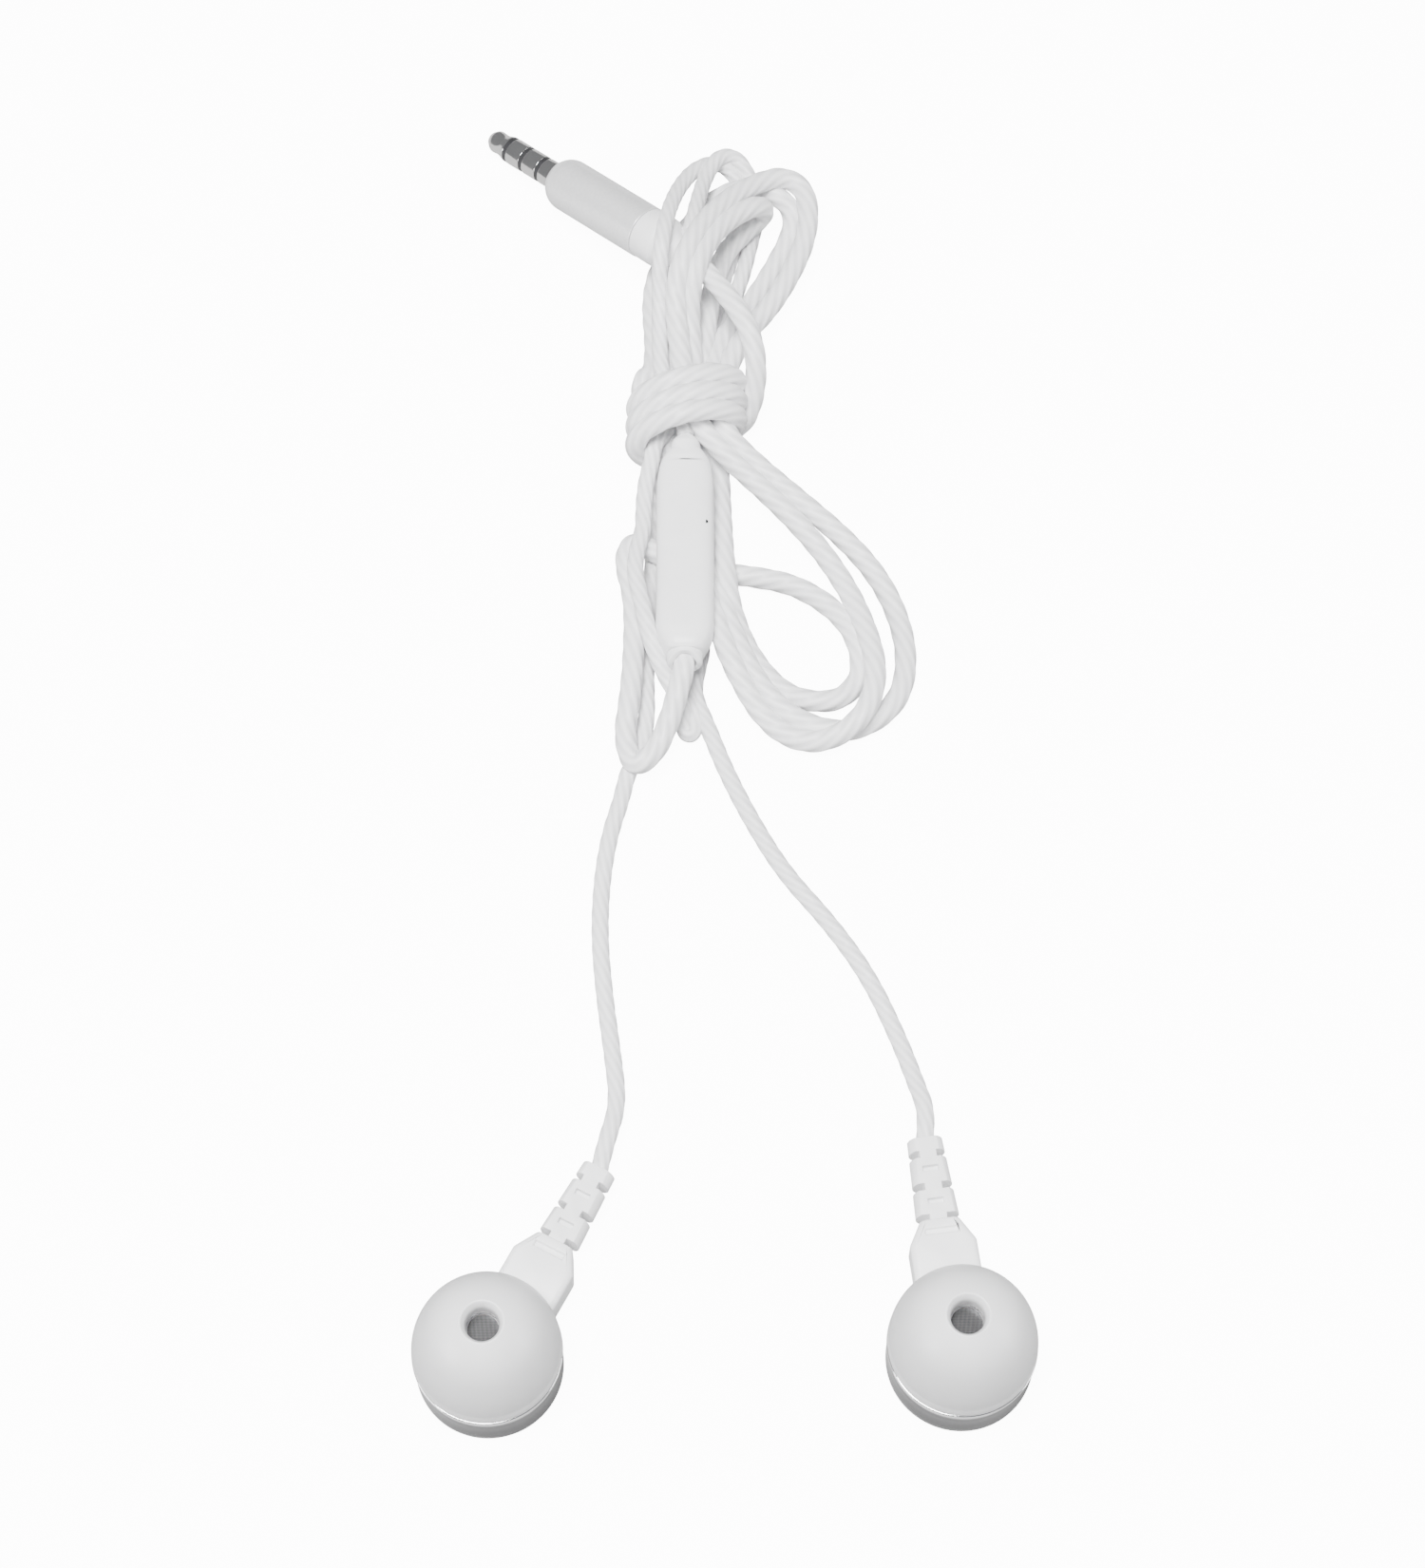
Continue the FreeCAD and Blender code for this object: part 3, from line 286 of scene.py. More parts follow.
def side_directions(points):
    """Two directions across the line at each point, carried along it without spinning."""
    ahead = unit(np.gradient(points, axis=0))
    side = np.cross(ahead[0], (0.0, 0.0, 1.0))
    sides = []
    for direction in ahead:
        side = side - direction * (side @ direction)
        side = side / np.linalg.norm(side)
        sides.append(side)
    sides = np.array(sides)
    return sides, np.cross(ahead, sides)


def twisted_cord(name, route, radius, strands, twist, depth, around):
    """Tube round the line: radius * (1 + depth * cos(strands * a)), a turning with length.

    a is the angle round the tube and one full turn more for every twist metres of cord. The ends
    are closed by a last ring of no width.
    """
    points = smooth_line(name, route)
    runs = np.linalg.norm(np.diff(points, axis=0), axis=1)
    points = points[np.r_[True, runs > 1e-6]]
    runs = np.linalg.norm(np.diff(points, axis=0), axis=1)
    distance = np.r_[0, np.cumsum(runs)]
    sides, ups = side_directions(points)
    angle = np.arange(around) * 2 * math.pi / around
    lobe = np.cos(strands * (angle[None, :] + 2 * math.pi * distance[:, None] / twist))
    ring = radius * (1 + depth * lobe)
    across = np.cos(angle)[None, :, None] * sides[:, None, :] + np.sin(angle)[None, :, None] * ups[:, None, :]
    tube = points[:, None, :] + ring[:, :, None] * across
    ends = np.repeat(points[[0, -1]][:, None, :], around, axis=1)
    tube = np.concatenate([ends[:1], tube, ends[1:]])
    along = np.r_[distance[0], distance, distance[-1]]
    piece = grid_mesh(name, tube, distance=along, smooth_angle=80)
    print(name, "length", round(distance[-1] * 1000), "mm, faces", len(piece.data.polygons))
    return piece, points, distance[-1]


MAIN_RADIUS = 1.3 * MM
LEAD_RADIUS = 1.0 * MM
STRANDS = 6
MAIN_TWIST = 17.0 * MM
LEAD_TWIST = 14.0 * MM
LOBE_DEPTH = 0.035
main_cord, main_line, main_length = twisted_cord(
    "main_cord", MAIN_ROUTE, MAIN_RADIUS, STRANDS, MAIN_TWIST, LOBE_DEPTH, 36
)
right_cord, right_line, right_length = twisted_cord(
    "right_cord", RIGHT_ROUTE, LEAD_RADIUS, STRANDS, LEAD_TWIST, LOBE_DEPTH, 30
)
left_cord, left_line, left_length = twisted_cord(
    "left_cord", LEFT_ROUTE, LEAD_RADIUS, STRANDS, LEAD_TWIST, LOBE_DEPTH, 30
)

# %% [markdown]
# ## Turned pieces
#
# The plug's parts and the round parts of the earbuds are turned: a half outline spun about an axis.
# Real turned and moulded parts never have knife edges, so the outline's corners are cut by short
# curves before it is spun. Those small rounds are what catches the light along an edge.

# %% Rounded outlines and spun surfaces
def rounded_outline(corners, closed=False, steps=6):
    """The outline past corners (a, b, cut): each is cut back by cut, and joined by a parabola.

    The parabola is (1-t)^2 P + 2t(1-t) C + t^2 Q, with C the corner and P and Q the cut ends.
    """
    places = np.array([corner[:2] for corner in corners], float)
    cuts = [corner[2] if len(corner) > 2 else 0 for corner in corners]
    count = len(places)
    line = []
    for number, (place, cut) in enumerate(zip(places, cuts)):
        inner = closed or 0 < number < count - 1
        if not cut or not inner:
            line.append(place[None, :])
            continue
        start = place + unit(places[number - 1] - place) * cut
        end = place + unit(places[(number + 1) % count] - place) * cut
        t = np.linspace(0, 1, steps + 1)[:, None]
        line.append((1 - t) ** 2 * start + 2 * t * (1 - t) * place + t**2 * end)
    return np.vstack(line)


def spun(name, outline, base, axis, closed=False, around=96, smooth_angle=35):
    """Each outline point (radius, height), in mm, becomes a ring of that radius about the axis."""
    axis = unit(np.array(axis, float))
    side = unit(np.cross(axis, (0.0, 1.0, 0.2)))
    other = np.cross(axis, side)
    angle = np.arange(around) * 2 * math.pi / around
    rim = np.cos(angle)[:, None] * side + np.sin(angle)[:, None] * other
    radius, height = outline[:, 0] * MM, outline[:, 1] * MM
    points = np.array(base) * MM + radius[:, None, None] * rim + height[:, None, None] * axis
    return grid_mesh(name, points, closed_along=closed, smooth_angle=smooth_angle)


# %% [markdown]
# ## The plug
#
# A four-contact plug: a pointed tip with a waist, two rings and a sleeve, with black insulating
# bands between them. Behind it come a pearly barrel and a soft white collar. All lengths run from
# the end of the tip along the plug's leaning axis.

# %% Spin the plug
PLUG_FOOT = (-30.1, 156.3, 1.6)
PLUG_AXIS = (0.71447, -0.66859, 0.2062)
PLUG_RADIUS = 1.75
FIRST_BAND = 3.6
BAND = 0.6
PITCH = 3.0


def plug_piece(name, corners, closed=False, **settings):
    """A piece spun about the plug's axis."""
    return spun(name, rounded_outline(corners, closed), PLUG_FOOT, PLUG_AXIS, closed, **settings)


plug_tip = plug_piece(
    "plug_tip_turned",
    [(0, 0), (0.85, 0.02, 0.3), (1.5, 0.95, 0.35), (1.38, 2.3, 0.5), (1.75, 3.45, 0.15),
     (1.72, FIRST_BAND, 0.05), (0.8, FIRST_BAND), (0, FIRST_BAND)],
)
plug_rings = []
for turn in range(2):
    low = FIRST_BAND + BAND + turn * PITCH
    high = FIRST_BAND + (turn + 1) * PITCH
    ring_corners = [(0.8, low), (PLUG_RADIUS, low, 0.07), (PLUG_RADIUS, high, 0.07), (0.8, high)]
    plug_rings.append(plug_piece(f"plug_ring_turned_{turn}", ring_corners, True))
sleeve_low = FIRST_BAND + BAND + 2 * PITCH
plug_sleeve = plug_piece(
    "plug_sleeve_turned",
    [(0.8, sleeve_low), (PLUG_RADIUS, sleeve_low, 0.07), (PLUG_RADIUS, 12.1, 0.07), (1.35, 12.1),
     (1.35, 14.5), (0.8, 14.5)],
    True,
)
band_corners = [(0.0, FIRST_BAND - 0.02)]
for turn in range(3):
    low = FIRST_BAND + turn * PITCH
    high = low + BAND
    band_corners += [(0.78, low), (PLUG_RADIUS - 0.03, low), (PLUG_RADIUS - 0.03, high), (0.78, high)]
band_corners += [(0.78, 15.0), (0.0, 15.0)]
plug_bands = plug_piece("plug_bands_turned", band_corners)
plug_barrel = plug_piece(
    "plug_barrel_turned",
    [(1.4, 12.35), (2.35, 12.35, 0.25), (3.4, 13.6, 1.1), (3.4, 28.65, 0.12), (2.72, 28.65),
     (2.72, 14.2), (1.4, 14.2)],
    True,
)
plug_collar = plug_piece(
    "plug_collar_turned",
    [(0, 24.1), (2.65, 24.1), (2.65, 28.72), (3.3, 28.72, 0.1), (3.33, 31.9, 0.35), (2.25, 33.1, 0.6),
     (1.75, 36.1, 0.15), (0, 36.15)],
)

# %% [markdown]
# ## The earbuds
#
# Each earbud stands on its back: a polished cup, a polished ring, and a soft dome with a sound hole
# in its top. Both are alike, so one function makes one of them at its place. The dome is the
# quarter of an ellipse, closed by a rolled rim below and by a funnel that leads into the sleeve.

# %% Spin the domes, rings and cups
BUDS = {"left": (-25.75, -8.9, -28.1), "right": (25.75, -8.1, 7.5)}
DOME_FOOT = 6.65
DOME_RISE = 10.3
DOME_RADIUS = 8.18


def ellipse(radius, rise, foot, from_angle, to_angle, steps):
    """Points (radius * cos a, foot + rise * sin a) for a between two angles in degrees."""
    a = np.radians(np.linspace(from_angle, to_angle, steps))
    return np.stack([radius * np.cos(a), foot + rise * np.sin(a)], axis=-1)


def dome_outline():
    """Outer quarter ellipse up to the hole, down the funnel and sleeve, and back along the inside."""
    outside = ellipse(DOME_RADIUS, DOME_RISE, DOME_FOOT + 0.1, 1, 72, 40)
    last = outside[-1]
    funnel = [
        (last[0], last[1], 0), (2.32, last[1] + 0.12, 0.22), (1.86, 15.75, 0.35), (1.8, 14.15, 0.1),
        (3.14, 14.1, 0.05), (3.14, 9.05, 0.1), (3.85, 9.05, 0.1), (3.85, 13.4, 0.8),
    ]
    funnel = rounded_outline(funnel + [(5.2, 13.0, 0)])
    inside = ellipse(DOME_RADIUS - 0.7, DOME_RISE - 0.7, DOME_FOOT + 0.1, 44, 1, 24)
    rim = rounded_outline([(DOME_RADIUS - 0.7, DOME_FOOT + 0.1), (DOME_RADIUS - 0.35, DOME_FOOT - 0.05, 0.2)])
    return np.vstack([outside, funnel[1:-1], inside, rim[1:]])


CUP = [
    (0, 0.0), (7.75, 0.0, 0.3), (8.1, 0.5, 0.3), (8.15, 1.4, 0.4), (8.05, 3.2, 0.6), (8.05, 5.56, 0.12),
    (7.3, 5.56), (7.3, 2.6, 0.3), (6.3, 0.85), (0, 0.8),
]
RING = [(7.15, 5.64), (8.2, 5.64, 0.16), (8.25, 6.45, 0.2), (7.15, 6.5)]
buds = {}
for side, (x, y, turn) in BUDS.items():
    place = (x, y, 0)
    upright = (0, 0, 1)
    buds[side] = {
        "dome": spun(f"{side}_dome", dome_outline(), place, upright, True, 128, 60),
        "cup": spun(f"{side}_cup", rounded_outline(CUP), place, upright, False, 128),
        "ring": spun(f"{side}_ring", rounded_outline(RING, True), place, upright, True, 128),
    }
print("earbud pieces:", sum(len(pieces) for pieces in buds.values()))

# %% [markdown]
# ## Softened copies
#
# The stems and their segmented reliefs are already the right shape in the frame, but as
# hard-edged solids. A moulded part has small rounds on every edge. The way here is to copy the
# node's mesh, merge its loose triangles, dissolve the flat ones into whole faces, and let a bevel
# round every edge sharper than a given angle.

# %% Copy, merge and round
def softened(node, width, angle=28, segments=3):
    """A copy of the node's mesh with its doubles merged, flats joined and sharp edges rounded."""
    mesh = nodes[node].data.copy()
    mesh.materials.clear()
    work = bmesh.new()
    work.from_mesh(mesh)
    bmesh.ops.remove_doubles(work, verts=work.verts, dist=2e-6)
    bmesh.ops.dissolve_limit(work, angle_limit=math.radians(1.0), verts=work.verts, edges=work.edges)
    work.to_mesh(mesh)
    work.free()
    mesh.shade_smooth()
    piece = bpy.data.objects.new(node + "_moulded", mesh)
    scene.collection.objects.link(piece)
    bevel = piece.modifiers.new("rounds", "BEVEL")
    bevel.width = width * MM
    bevel.segments = segments
    bevel.limit_method = "ANGLE"
    bevel.angle_limit = math.radians(angle)
    bevel.harden_normals = True
    return piece


moulded = {}
for side in BUDS:
    moulded[side + "_stem_housing"] = softened(side + "_stem_housing", 0.18)
    moulded[side + "_strain_relief"] = softened(side + "_strain_relief", 0.14)
for node, piece in moulded.items():
    print(node, "copied with", len(piece.data.polygons), "faces")

# %% [markdown]
# ## The remote
#
# The remote is a pillow-shaped bar: its cross-section is a squarish oval, wide in the middle and
# drawn in at both ends. That is a superellipse whose width and height follow two outlines along the
# bar. A domed nose closes the end where the thin leads come out. The button's hole and its
# flange's room are then cut with a Boolean, whose result is written back into the mesh. The
# microphone's pin hole is painted shade: a black disc that ends level with the casing.

# %% Carry the oval along the remote
REMOTE_FOOT = (-4.65, 77.2, 5.7)


def carried_oval(name, width_outline, depths, squareness, around=96):
    """Ovals x = w * |cos a| ** (2/n), z = d * |sin a| ** (2/n), both signed, along Y.

    w follows the rounded width outline, d is read from the depths at the same distance, and n is
    the squareness.
    """
    outline = rounded_outline(width_outline, steps=10)
    along, width = outline[:, 0], outline[:, 1]
    depth = np.interp(along, *np.array(depths).T) * np.minimum(1, width / 0.01)
    angle = np.arange(around) * 2 * math.pi / around
    across = np.sign(np.cos(angle)) * np.abs(np.cos(angle)) ** (2 / squareness)
    upward = np.sign(np.sin(angle)) * np.abs(np.sin(angle)) ** (2 / squareness)
    points = np.stack(
        [width[:, None] * across, np.repeat(along[:, None], around, axis=1), depth[:, None] * upward], axis=-1
    )
    return grid_mesh(name, (points + np.array(REMOTE_FOOT)) * MM, smooth_angle=50)


def carve(piece, cutter):
    """Cuts the cutter out of the piece and writes the result into the piece's own mesh."""
    cut = piece.modifiers.new("cut", "BOOLEAN")
    cut.object = cutter
    cut.solver = "EXACT"
    bpy.context.view_layer.update()
    solved = piece.evaluated_get(bpy.context.evaluated_depsgraph_get())
    mesh = bpy.data.meshes.new_from_object(solved)
    piece.modifiers.clear()
    piece.data = mesh
    bpy.data.objects.remove(cutter)


def block(low, high):
    """A plain box for cutting, between two corners in the remote's own millimetres."""
    corners = np.array([(x, y, z) for x in (0, 1) for y in (0, 1) for z in (0, 1)])
    places = np.array(low) + corners * (np.array(high) - np.array(low)) + np.array(REMOTE_FOOT)
    faces = [(0, 1, 3, 2), (4, 6, 7, 5), (0, 4, 5, 1), (2, 3, 7, 6), (0, 2, 6, 4), (1, 5, 7, 3)]
    mesh = bpy.data.meshes.new("cutter")
    mesh.from_pydata(places * MM, [], faces)
    return finish_mesh("cutter", mesh, 30)


remote_body = carried_oval(
    "remote_casing",
    [(0, 0), (0, 2.2, 0.5), (2.5, 3.5, 1.4), (24.2, 3.5, 1.8), (26.6, 3.0, 0.9), (28.1, 2.0, 0.4), (28.1, 0)],
    [(0, 2.3), (0.5, 2.6), (2.6, 2.8), (24.0, 2.8), (26.6, 2.65), (28.2, 2.15)],
    3.4,
)
carve(remote_body, block((-1.47, 10.5, -4), (1.47, 17.5, -1.5)))
carve(remote_body, block((-2.3, 9.7, -2.2), (2.3, 18.3, -0.4)))
# Painted shade: a black disc level with the casing stands in for the dark pin hole.
hole_shade_disc_outline = np.array([(0, -0.3), (0.25, -0.3), (0.25, 0.02), (0, 0.02)])
hole_shade_disc = spun("hole_shade_disc", hole_shade_disc_outline, (-2.1, 94.3, 8.16), (0.4, 0, 1), around=24)
remote_nose = carried_oval(
    "remote_nose",
    [(27.6, 0), (27.6, 1.85, 0.1), (29.0, 1.9, 0.7), (30.25, 1.3, 0.75), (30.25, 0)],
    [(27.6, 2.35), (29.0, 2.25), (30.25, 1.6)],
    2.6,
)
print("casing faces:", len(remote_body.data.polygons))

# %% [markdown]
# ## The remote's collar
#
# A short collar guides the thick cord into the remote. Its upper side has an arched mouth, so the
# cord shows inside it. The arch is the collar's free end, drawn back by a smooth bump in the angle.

# %% Carry the collar round the cord
def collar_with_mouth():
    """A tube along Y whose free end is drawn in by 0.8 * s ** 2, s being sin a where it is over 0."""
    profile = rounded_outline([(2.2, 0.9), (2.12, -1.3, 0.35), (1.4, -1.3, 0.15), (1.4, 0.9)], closed=True)
    angle = np.arange(64) * 2 * math.pi / 64
    mouth = 0.8 * np.maximum(0, np.sin(angle)) ** 2
    radius, height = profile[:, 0, None], profile[:, 1, None]
    along = height + mouth * np.clip(-height / 1.3, 0, 1)
    points = np.stack([radius * np.cos(angle), along, radius * np.sin(angle)], axis=-1)
    return grid_mesh("remote_collar", (points + np.array(REMOTE_FOOT)) * MM, closed_along=True)


remote_collar = collar_with_mouth()
print("collar faces:", len(remote_collar.data.polygons))

# %% [markdown]
# ## A short way to write shader maths
#
# A material is a graph of nodes. Written out by hand, even "one minus the mask" takes three lines.
# This small class holds one socket and adds a Math node for each operator, so graphs read like
# formulas. Everything else goes through one method, which makes a node from its type, its settings
# and its inputs.

# %% Sockets with operators
class Value:
    """One output socket of a material's graph."""

    def __init__(self, graph, socket):
        self.graph = graph
        self.socket = socket

    def maths(self, operation, *others):
        """A Math node of this value and the others."""
        inputs = {number: item for number, item in enumerate((self, *others))}
        return self.graph.node("ShaderNodeMath", {"operation": operation}, inputs)

    def __add__(self, other):
        return self.maths("ADD", other)

    def __sub__(self, other):
        return self.maths("SUBTRACT", other)

    def __mul__(self, other):
        return self.maths("MULTIPLY", other)

    def __rsub__(self, other):
        return (self * -1).maths("ADD", other)

    __radd__ = __add__
    __rmul__ = __mul__

    def band(self, low, high):
        """Rises smoothly from 0 to 1 between low and high."""
        settings = {"interpolation_type": "SMOOTHSTEP"}
        inputs = {"Value": self, "From Min": low, "From Max": high}
        return self.graph.node("ShaderNodeMapRange", settings, inputs)


class Graph:
    """A new material and the nodes added to it."""

    def __init__(self, name):
        self.material = bpy.data.materials.new(name)
        self.material.use_nodes = True
        self.tree = self.material.node_tree
        self.shader = self.tree.nodes["Principled BSDF"]

    def node(self, kind, settings=None, inputs=None, output=0):
        """Makes a node: its settings first, then the values or links of its sockets."""
        made = self.tree.nodes.new(kind)
        for name, setting in (settings or {}).items():
            setattr(made, name, setting)
        for key, item in (inputs or {}).items():
            self.join(item, made.inputs[key])
        return Value(self, made.outputs[output])

    def join(self, item, socket):
        """Links a value to the socket, or sets the socket's own number or colour."""
        if isinstance(item, Value):
            self.tree.links.new(item.socket, socket)
        else:
            socket.default_value = item

    def set(self, **sockets):
        """Sets or links the shader's sockets, with spaces written as underscores."""
        for name, item in sockets.items():
            self.join(item, self.shader.inputs[name.replace("_", " ")])
        return self.material

    def place(self):
        """The Object coordinates: metres in the frame."""
        return self.node("ShaderNodeTexCoord", output="Object")

    def noise(self, scale, detail=3.0):
        """Noise on the Object coordinates; scale is features per metre."""
        inputs = {"Vector": self.place(), "Scale": scale, "Detail": detail}
        return self.node("ShaderNodeTexNoise", None, inputs)

    def mix(self, mask, first, second):
        """The first colour where the mask is 0 and the second where it is 1."""
        settings = {"data_type": "RGBA"}
        return self.node("ShaderNodeMix", settings, {0: mask, 6: first, 7: second}, output=2)

    def bump(self, height, distance, strength=1.0):
        """A normal tilted by the height; distance is in metres."""
        inputs = {"Height": height, "Distance": distance, "Strength": strength}
        return self.node("ShaderNodeBump", None, inputs)


print("shader maths ready")


# %% [markdown]
# ## The cord's finish
#
# The cord is a pale, slightly translucent rubber over a twisted core. Its dark lines are painted
# shade in the hollows between strands, so they must sit exactly in the lobes of the mesh. Both
# read the same strip map: length along and angle round.

# %% Cord material
def cord_finish(name, twist):
    """Painted shade in the hollows, where cos(strands * a) is low; a is the strip map's turned angle."""
    graph = Graph(name)
    strip = graph.node("ShaderNodeUVMap", {"uv_map": "strip"})
    parts = graph.node("ShaderNodeSeparateXYZ", None, {0: strip})
    length = parts
    angle = Value(graph, parts.socket.node.outputs[1])
    turned = (angle + length * (1 / twist)) * (2 * math.pi * STRANDS)
    lobe = turned.maths("COSINE") * 0.5 + 0.5
    # Painted shade: the hollows between strands are darkened; the grain added below is the rubber's own tone.
    painted_crease_shade = 1 - lobe.band(0.0, 0.8)
    grain = graph.noise(900.0, 4.0)
    shade = painted_crease_shade * 0.4 + (grain - 0.5) * 0.3
    colour = graph.mix(shade, (0.86, 0.86, 0.865, 1), (0.58, 0.58, 0.595, 1))
    height = lobe * 0.8 + grain * 0.2
    graph.set(
        Base_Color=colour, Roughness=grain * 0.12 + 0.36, Subsurface_Weight=0.15,
        Subsurface_Radius=(0.6, 0.6, 0.6), Subsurface_Scale=0.0008, Specular_IOR_Level=0.45,
        Normal=graph.bump(height, 0.00008, 0.6),
    )
    return graph.material


main_cord.data.materials.append(cord_finish("main_cord_rubber", MAIN_TWIST))
lead_rubber = cord_finish("lead_rubber", LEAD_TWIST)
right_cord.data.materials.append(lead_rubber)
left_cord.data.materials.append(lead_rubber)
print("cord finishes made")


# %% [markdown]
# ## Moulded and metal finishes
#
# White plastic shows faint waviness and tiny specks of wear. Polished metal is a mirror with hair
# fine marks that only its roughness shows. The dome is soft silicone: light goes into it, so it
# looks greyer than the white parts, and dust clings to it in small patches.

# %% Finishes
def white_moulding(name, tint, roughness):
    """Pale plastic: slow shade changes, a fine orange-peel bump."""
    graph = Graph(name)
    cloud = graph.noise(180.0, 4.0)
    peel = graph.noise(2600.0, 2.0)
    dark = tuple(c * 0.94 for c in tint)
    return graph.set(
        Base_Color=graph.mix(cloud.band(0.3, 0.75), (*tint, 1), (*dark, 1)),
        Roughness=cloud * 0.12 + roughness, Subsurface_Weight=0.08, Subsurface_Scale=0.0006,
        Subsurface_Radius=(0.5, 0.5, 0.5), Normal=graph.bump(peel, 0.000012, 0.5),
    )


def silicone():
    """Greyish translucent rubber with clinging dust, and painted light: a paler low band and a lighter top.
    """
    graph = Graph("dome_silicone")
    parts = graph.node("ShaderNodeSeparateXYZ", None, {0: graph.place()})
    height = Value(graph, parts.socket.node.outputs[2])
    # Painted light: below 8.1 mm the dome is paler, for light shining through its single thin wall.
    painted_wall_glow = 1 - height.band(0.0081, 0.0087)
    # Painted light from above: lighter towards the top of the dome, darker towards its base.
    painted_top_light = height.band(0.0125, 0.0168)
    body = graph.mix(painted_top_light, (0.60, 0.60, 0.605, 1), (0.78, 0.78, 0.785, 1))
    dust = graph.noise(1500.0, 6.0).band(0.62, 0.8)
    # The paler mix is partly painted light (the low band) and partly real dust.
    pale = painted_wall_glow * 0.85 + dust * 0.15
    return graph.set(
        Base_Color=graph.mix(pale, body, (0.80, 0.80, 0.805, 1)), Roughness=dust * 0.2 + 0.34,
        Subsurface_Weight=0.3, Subsurface_Scale=0.0015, Subsurface_Radius=(0.8, 0.8, 0.8),
        Normal=graph.bump(graph.noise(1800.0, 2.0), 0.00001, 0.4),
    )


def polished(name, tint, roughness):
    """Mirror metal with fine marks in its roughness."""
    graph = Graph(name)
    marks = graph.noise(2400.0, 5.0)
    haze = graph.noise(160.0, 3.0)
    return graph.set(
        Base_Color=graph.mix(haze.band(0.35, 0.7), (*tint, 1), (*(c * 0.93 for c in tint), 1)),
        Metallic=1.0, Roughness=marks * 0.06 + haze * 0.05 + roughness,
        Normal=graph.bump(marks, 0.000004, 0.25),
    )


def pearl():
    """Satin lacquer over metal: mostly pale paint, with a soft metallic lustre and fine grain."""
    graph = Graph("pearl_barrel")
    grain = graph.noise(2600.0, 3.0)
    return graph.set(
        Base_Color=graph.mix(grain.band(0.3, 0.7), (0.86, 0.86, 0.865, 1), (0.80, 0.80, 0.805, 1)),
        Metallic=0.45, Roughness=grain * 0.08 + 0.3, Coat_Weight=0.3, Coat_Roughness=0.15,
        Normal=graph.bump(grain, 0.000006, 0.3),
    )


def mirror_shell():
    """Mirror cup with a painted reflection: light at its lip, dark towards its foot, by height above the
    table.
    """
    graph = Graph("mirror_shell")
    parts = graph.node("ShaderNodeSeparateXYZ", None, {0: graph.place()})
    height = Value(graph, parts.socket.node.outputs[2])
    marks = graph.noise(2400.0, 5.0)
    # Painted reflection and shade: the cup is dark below 4.6 mm and light above 6 mm.
    painted_lip_light = height.band(0.0046, 0.0060)
    return graph.set(
        Base_Color=graph.mix(painted_lip_light, (0.10, 0.10, 0.103, 1), (0.95, 0.95, 0.955, 1)),
        Metallic=1.0, Roughness=marks * 0.05 + 0.06, Normal=graph.bump(marks, 0.000004, 0.2),
    )


def plain_part(name, tint, roughness, metallic=0.0, scale=900.0):
    """Inner parts: a colour with grain in shade, roughness and bump."""
    graph = Graph(name)
    grain = graph.noise(scale, 4.0)
    return graph.set(
        Base_Color=graph.mix(grain.band(0.3, 0.7), (*tint, 1), (*(c * 0.82 for c in tint), 1)),
        Metallic=metallic, Roughness=grain * 0.18 + roughness, Normal=graph.bump(grain, 0.00002, 0.4),
    )


def woven_mesh():
    """Dark screen: fine wires one way, coarser ones the other, by sines of the place."""
    graph = Graph("screen_wire")
    parts = graph.node("ShaderNodeSeparateXYZ", None, {0: graph.place()})
    across = (parts * (2 * math.pi / 0.00013)).maths("SINE")
    down = (Value(graph, parts.socket.node.outputs[1]) * (2 * math.pi / 0.00030)).maths("SINE")
    wire = (across * 0.8 + down * 0.2).band(-0.4, 0.6)
    return graph.set(
        Base_Color=graph.mix(wire, (0.015, 0.015, 0.016, 1), (0.09, 0.09, 0.092, 1)),
        Metallic=0.6, Roughness=0.45 - wire * 0.1, Normal=graph.bump(wire, 0.00004, 0.7),
    )


finishes = {
    "silicone": silicone(),
    "white_plastic": white_moulding("satin_white", (0.93, 0.93, 0.935), 0.3),
    "soft_white": white_moulding("soft_white", (0.88, 0.88, 0.885), 0.42),
    "polished_metal": mirror_shell(),
    "plug_plating": polished("plug_plating", (0.77, 0.76, 0.75), 0.08),
    "pearl_metal": pearl(),
    "mesh": woven_mesh(),
    "grey_plastic": plain_part("grey_moulding", (0.3, 0.3, 0.31), 0.5),
    "steel": plain_part("bare_steel", (0.58, 0.58, 0.59), 0.3, 1.0),
    "magnet": plain_part("nickel_magnet", (0.66, 0.65, 0.63), 0.22, 1.0),
    "copper": plain_part("enamelled_wire", (0.72, 0.38, 0.2), 0.3, 0.8, 4000.0),
    "film": plain_part("thin_film", (0.7, 0.7, 0.66), 0.25),
    "board": plain_part("green_board", (0.05, 0.22, 0.09), 0.4),
    "black_plastic": plain_part("black_moulding", (0.02, 0.02, 0.022), 0.4),
    "cord": lead_rubber,
}
print("finishes:", ", ".join(finishes))

# %% [markdown]
# ## Dressing the frame
#
# Every node of the frame names a slot, and each slot now has a finish. The nodes keep their shapes;
# only their materials change.

# %% Give each node its finish
slots = {part["node"]: part["material_slot"] for part in frame["record"]["subparts"]}
for name, node in nodes.items():
    node.data.materials.clear()
    node.data.materials.append(finishes[slots[name]])
print("nodes dressed:", len(nodes))


def stands_for(piece, slot, body, *names):
    """Gives the piece its finish and body, and lets it stand for the named nodes."""
    if not piece.data.materials:
        piece.data.materials.append(finishes[slot])
    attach(piece, body)
    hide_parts(*names)


# %% [markdown]
# ## Putting the pieces in place of the plain ones
#
# Each new piece rides on a body, so it moves when that body moves: the domes go with their tips
# when they are pulled off, and everything else stays with the root.

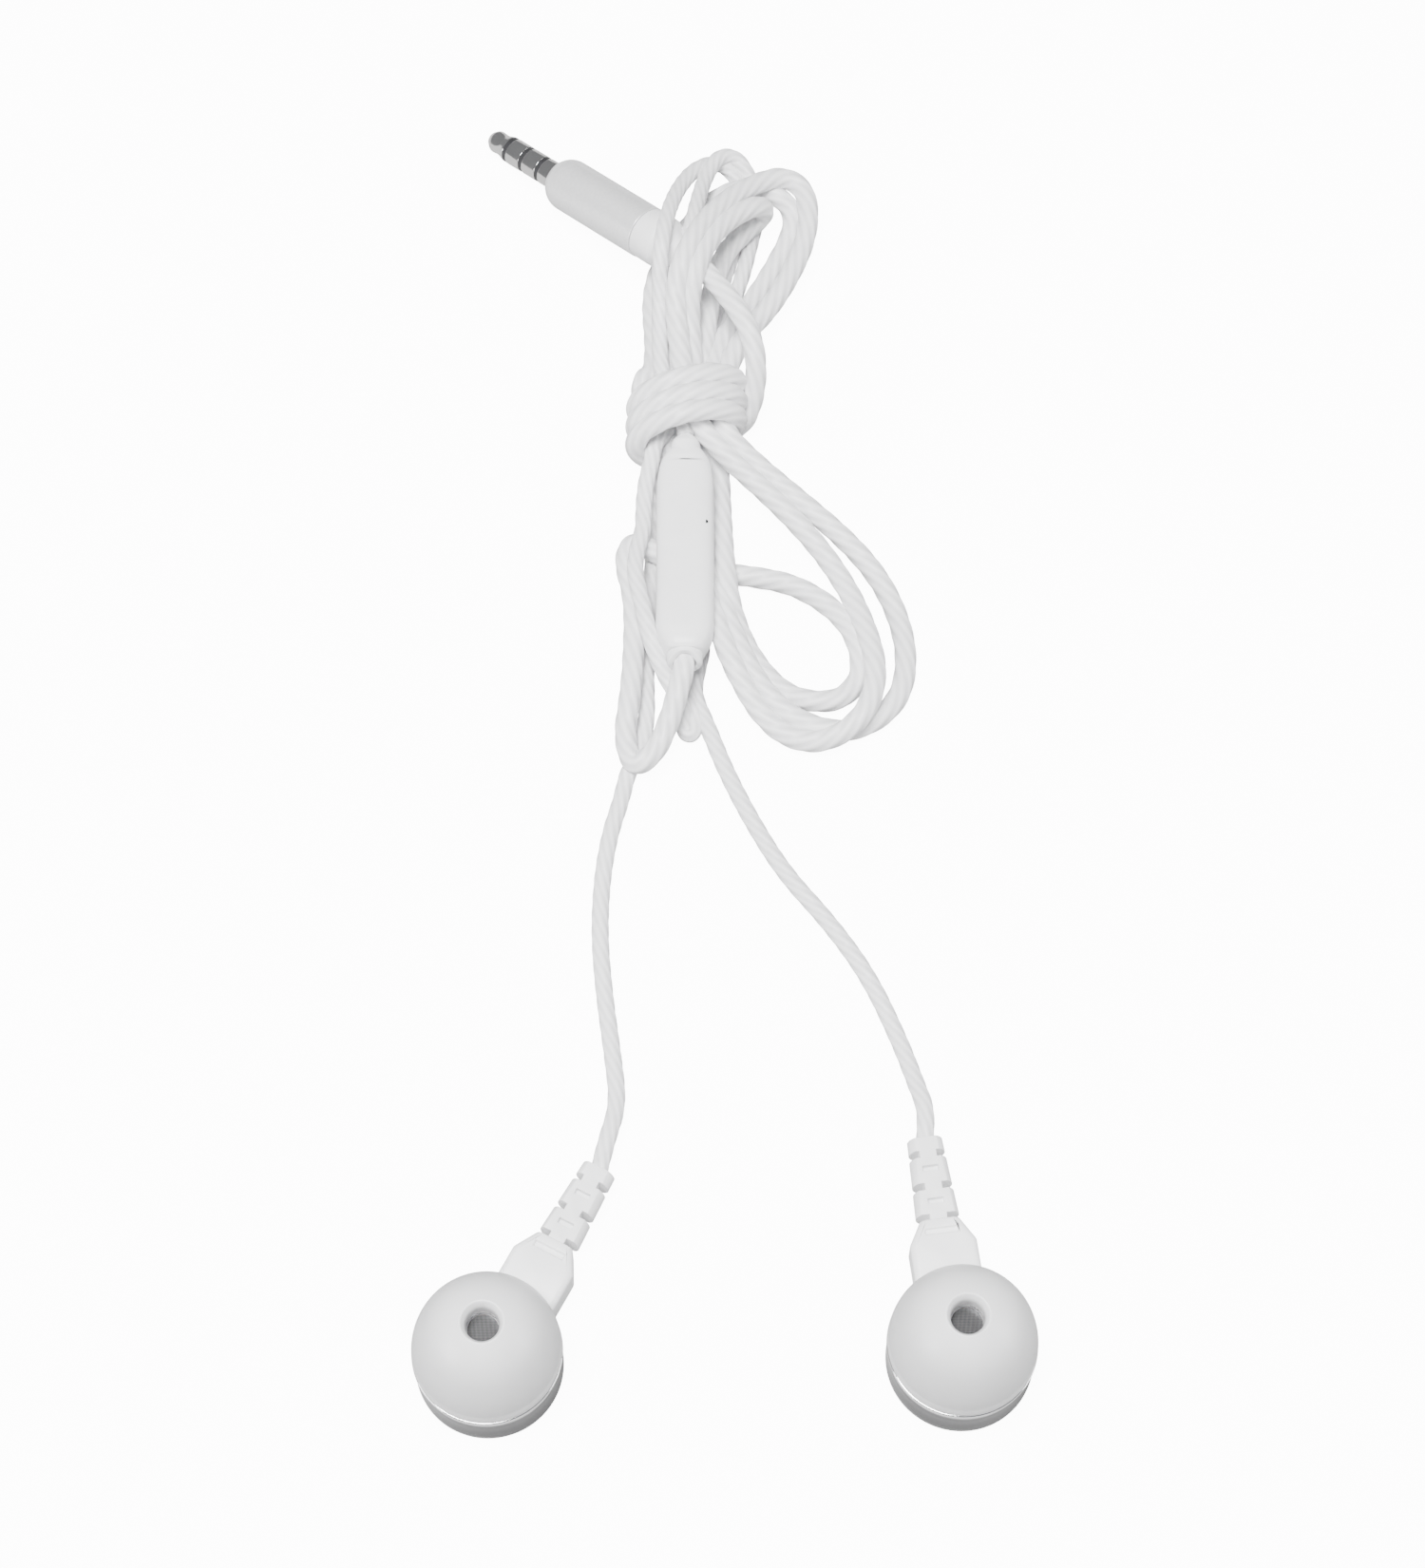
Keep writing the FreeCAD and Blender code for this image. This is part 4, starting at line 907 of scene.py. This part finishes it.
# %% Ride and replace
for side, pieces in buds.items():
    stands_for(pieces["dome"], "silicone", side + "_tip", side + "_ear_tip")
    stands_for(pieces["cup"], "polished_metal", "root", side + "_back_shell")
    stands_for(pieces["ring"], "polished_metal", "root", side + "_trim_ring")
for node, piece in moulded.items():
    stands_for(piece, slots[node], "root", node)
stands_for(remote_body, "white_plastic", "root", "remote_back_shell", "remote_front_shell")
stands_for(remote_nose, "soft_white", "root", "remote_top_relief")
stands_for(remote_collar, "soft_white", "root", "remote_bottom_relief")
stands_for(plug_tip, "plug_plating", "root", "plug_tip")
stands_for(plug_rings[0], "plug_plating", "root", "plug_ring_front")
stands_for(plug_rings[1], "plug_plating", "root", "plug_ring_rear")
stands_for(plug_sleeve, "plug_plating", "root", "plug_sleeve")
stands_for(plug_bands, "black_plastic", "root", "plug_insulators")
stands_for(plug_barrel, "pearl_metal", "root", "plug_barrel")
stands_for(plug_collar, "soft_white", "root", "plug_collar")
stands_for(
    main_cord, "cord", "root",
    "hank_tie", "hank_top_loops", "hank_right_loops", "hank_left_loop", "hank_inner_runs",
)
stands_for(right_cord, "cord", "root", "right_lead")
stands_for(left_cord, "cord", "root", "left_lead")
# The black disc is painted shade in place of the pin hole.
hole_shade_disc.data.materials.append(finishes["black_plastic"])
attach(hole_shade_disc, "root")
print("pieces placed")

# %% [markdown]
# ## What the cords really are
#
# A cord is a fixed length of something flexible. Here only the main cord's first point is worked out, in
# metres.

tuple(c * MM for c in MAIN_ROUTE[0])

# %% [markdown]
# ## Floor and light
#
# The floor is plain and white, and gives back a little light of its own so that shadows stay faint.
# One wide soft light hangs above, and a narrower one on each side draws bright strips on the
# polished shells.

# %% Floor, world and lights
FLOOR_GLOW = 12.0
floor_graph = Graph("plain_floor")
seen = floor_graph.node("ShaderNodeLightPath", output="Is Camera Ray")
floor_material = floor_graph.set(
    Base_Color=(0.4, 0.4, 0.4, 1), Roughness=0.9, Specular_IOR_Level=0.1,
    Emission_Color=(1, 1, 1, 1), Emission_Strength=seen * FLOOR_GLOW,
)
floor_mesh = bpy.data.meshes.new("floor")
FLOOR_HALF = 3.0
FLOOR_SIDES = [(-1, -1), (1, -1), (1, 1), (-1, 1)]
floor_corners = [(x * FLOOR_HALF, y * FLOOR_HALF, 0) for x, y in FLOOR_SIDES]
floor_mesh.from_pydata(floor_corners, [], [(0, 1, 2, 3)])
floor_mesh.materials.append(floor_material)
floor = bpy.data.objects.new("floor", floor_mesh)
floor.location.z = -0.0001
scene.collection.objects.link(floor)

world = bpy.data.worlds.new("studio")
world.use_nodes = True
world.node_tree.nodes["Background"].inputs["Color"].default_value = (0.9, 0.92, 0.95, 1)
world.node_tree.nodes["Background"].inputs["Strength"].default_value = 0.3
scene.world = world


def soft_light(name, place, target, width, depth, power):
    """An area light at place that faces target; sizes in metres, power in watts."""
    data = bpy.data.lights.new(name, "AREA")
    data.shape = "RECTANGLE"
    data.size = width
    data.size_y = depth
    data.energy = power
    light = bpy.data.objects.new(name, data)
    aim = unit(np.array(place, float) - np.array(target, float))
    height = math.acos(aim[2])
    heading = math.atan2(aim[1], aim[0]) + math.pi / 2
    light.location = place
    light.rotation_euler = (height, 0, heading)
    scene.collection.objects.link(light)
    return light


MIDDLE = (0.0, 0.07, 0.0)
soft_light("top_panel", (-0.12, -0.05, 0.9), MIDDLE, 0.4, 0.4, 25.0)
soft_light("left_strip", (-0.55, -0.25, 0.22), MIDDLE, 0.35, 0.2, 3.0)
soft_light("right_strip", (0.6, -0.05, 0.2), MIDDLE, 0.35, 0.2, 2.2)
print("lights set")
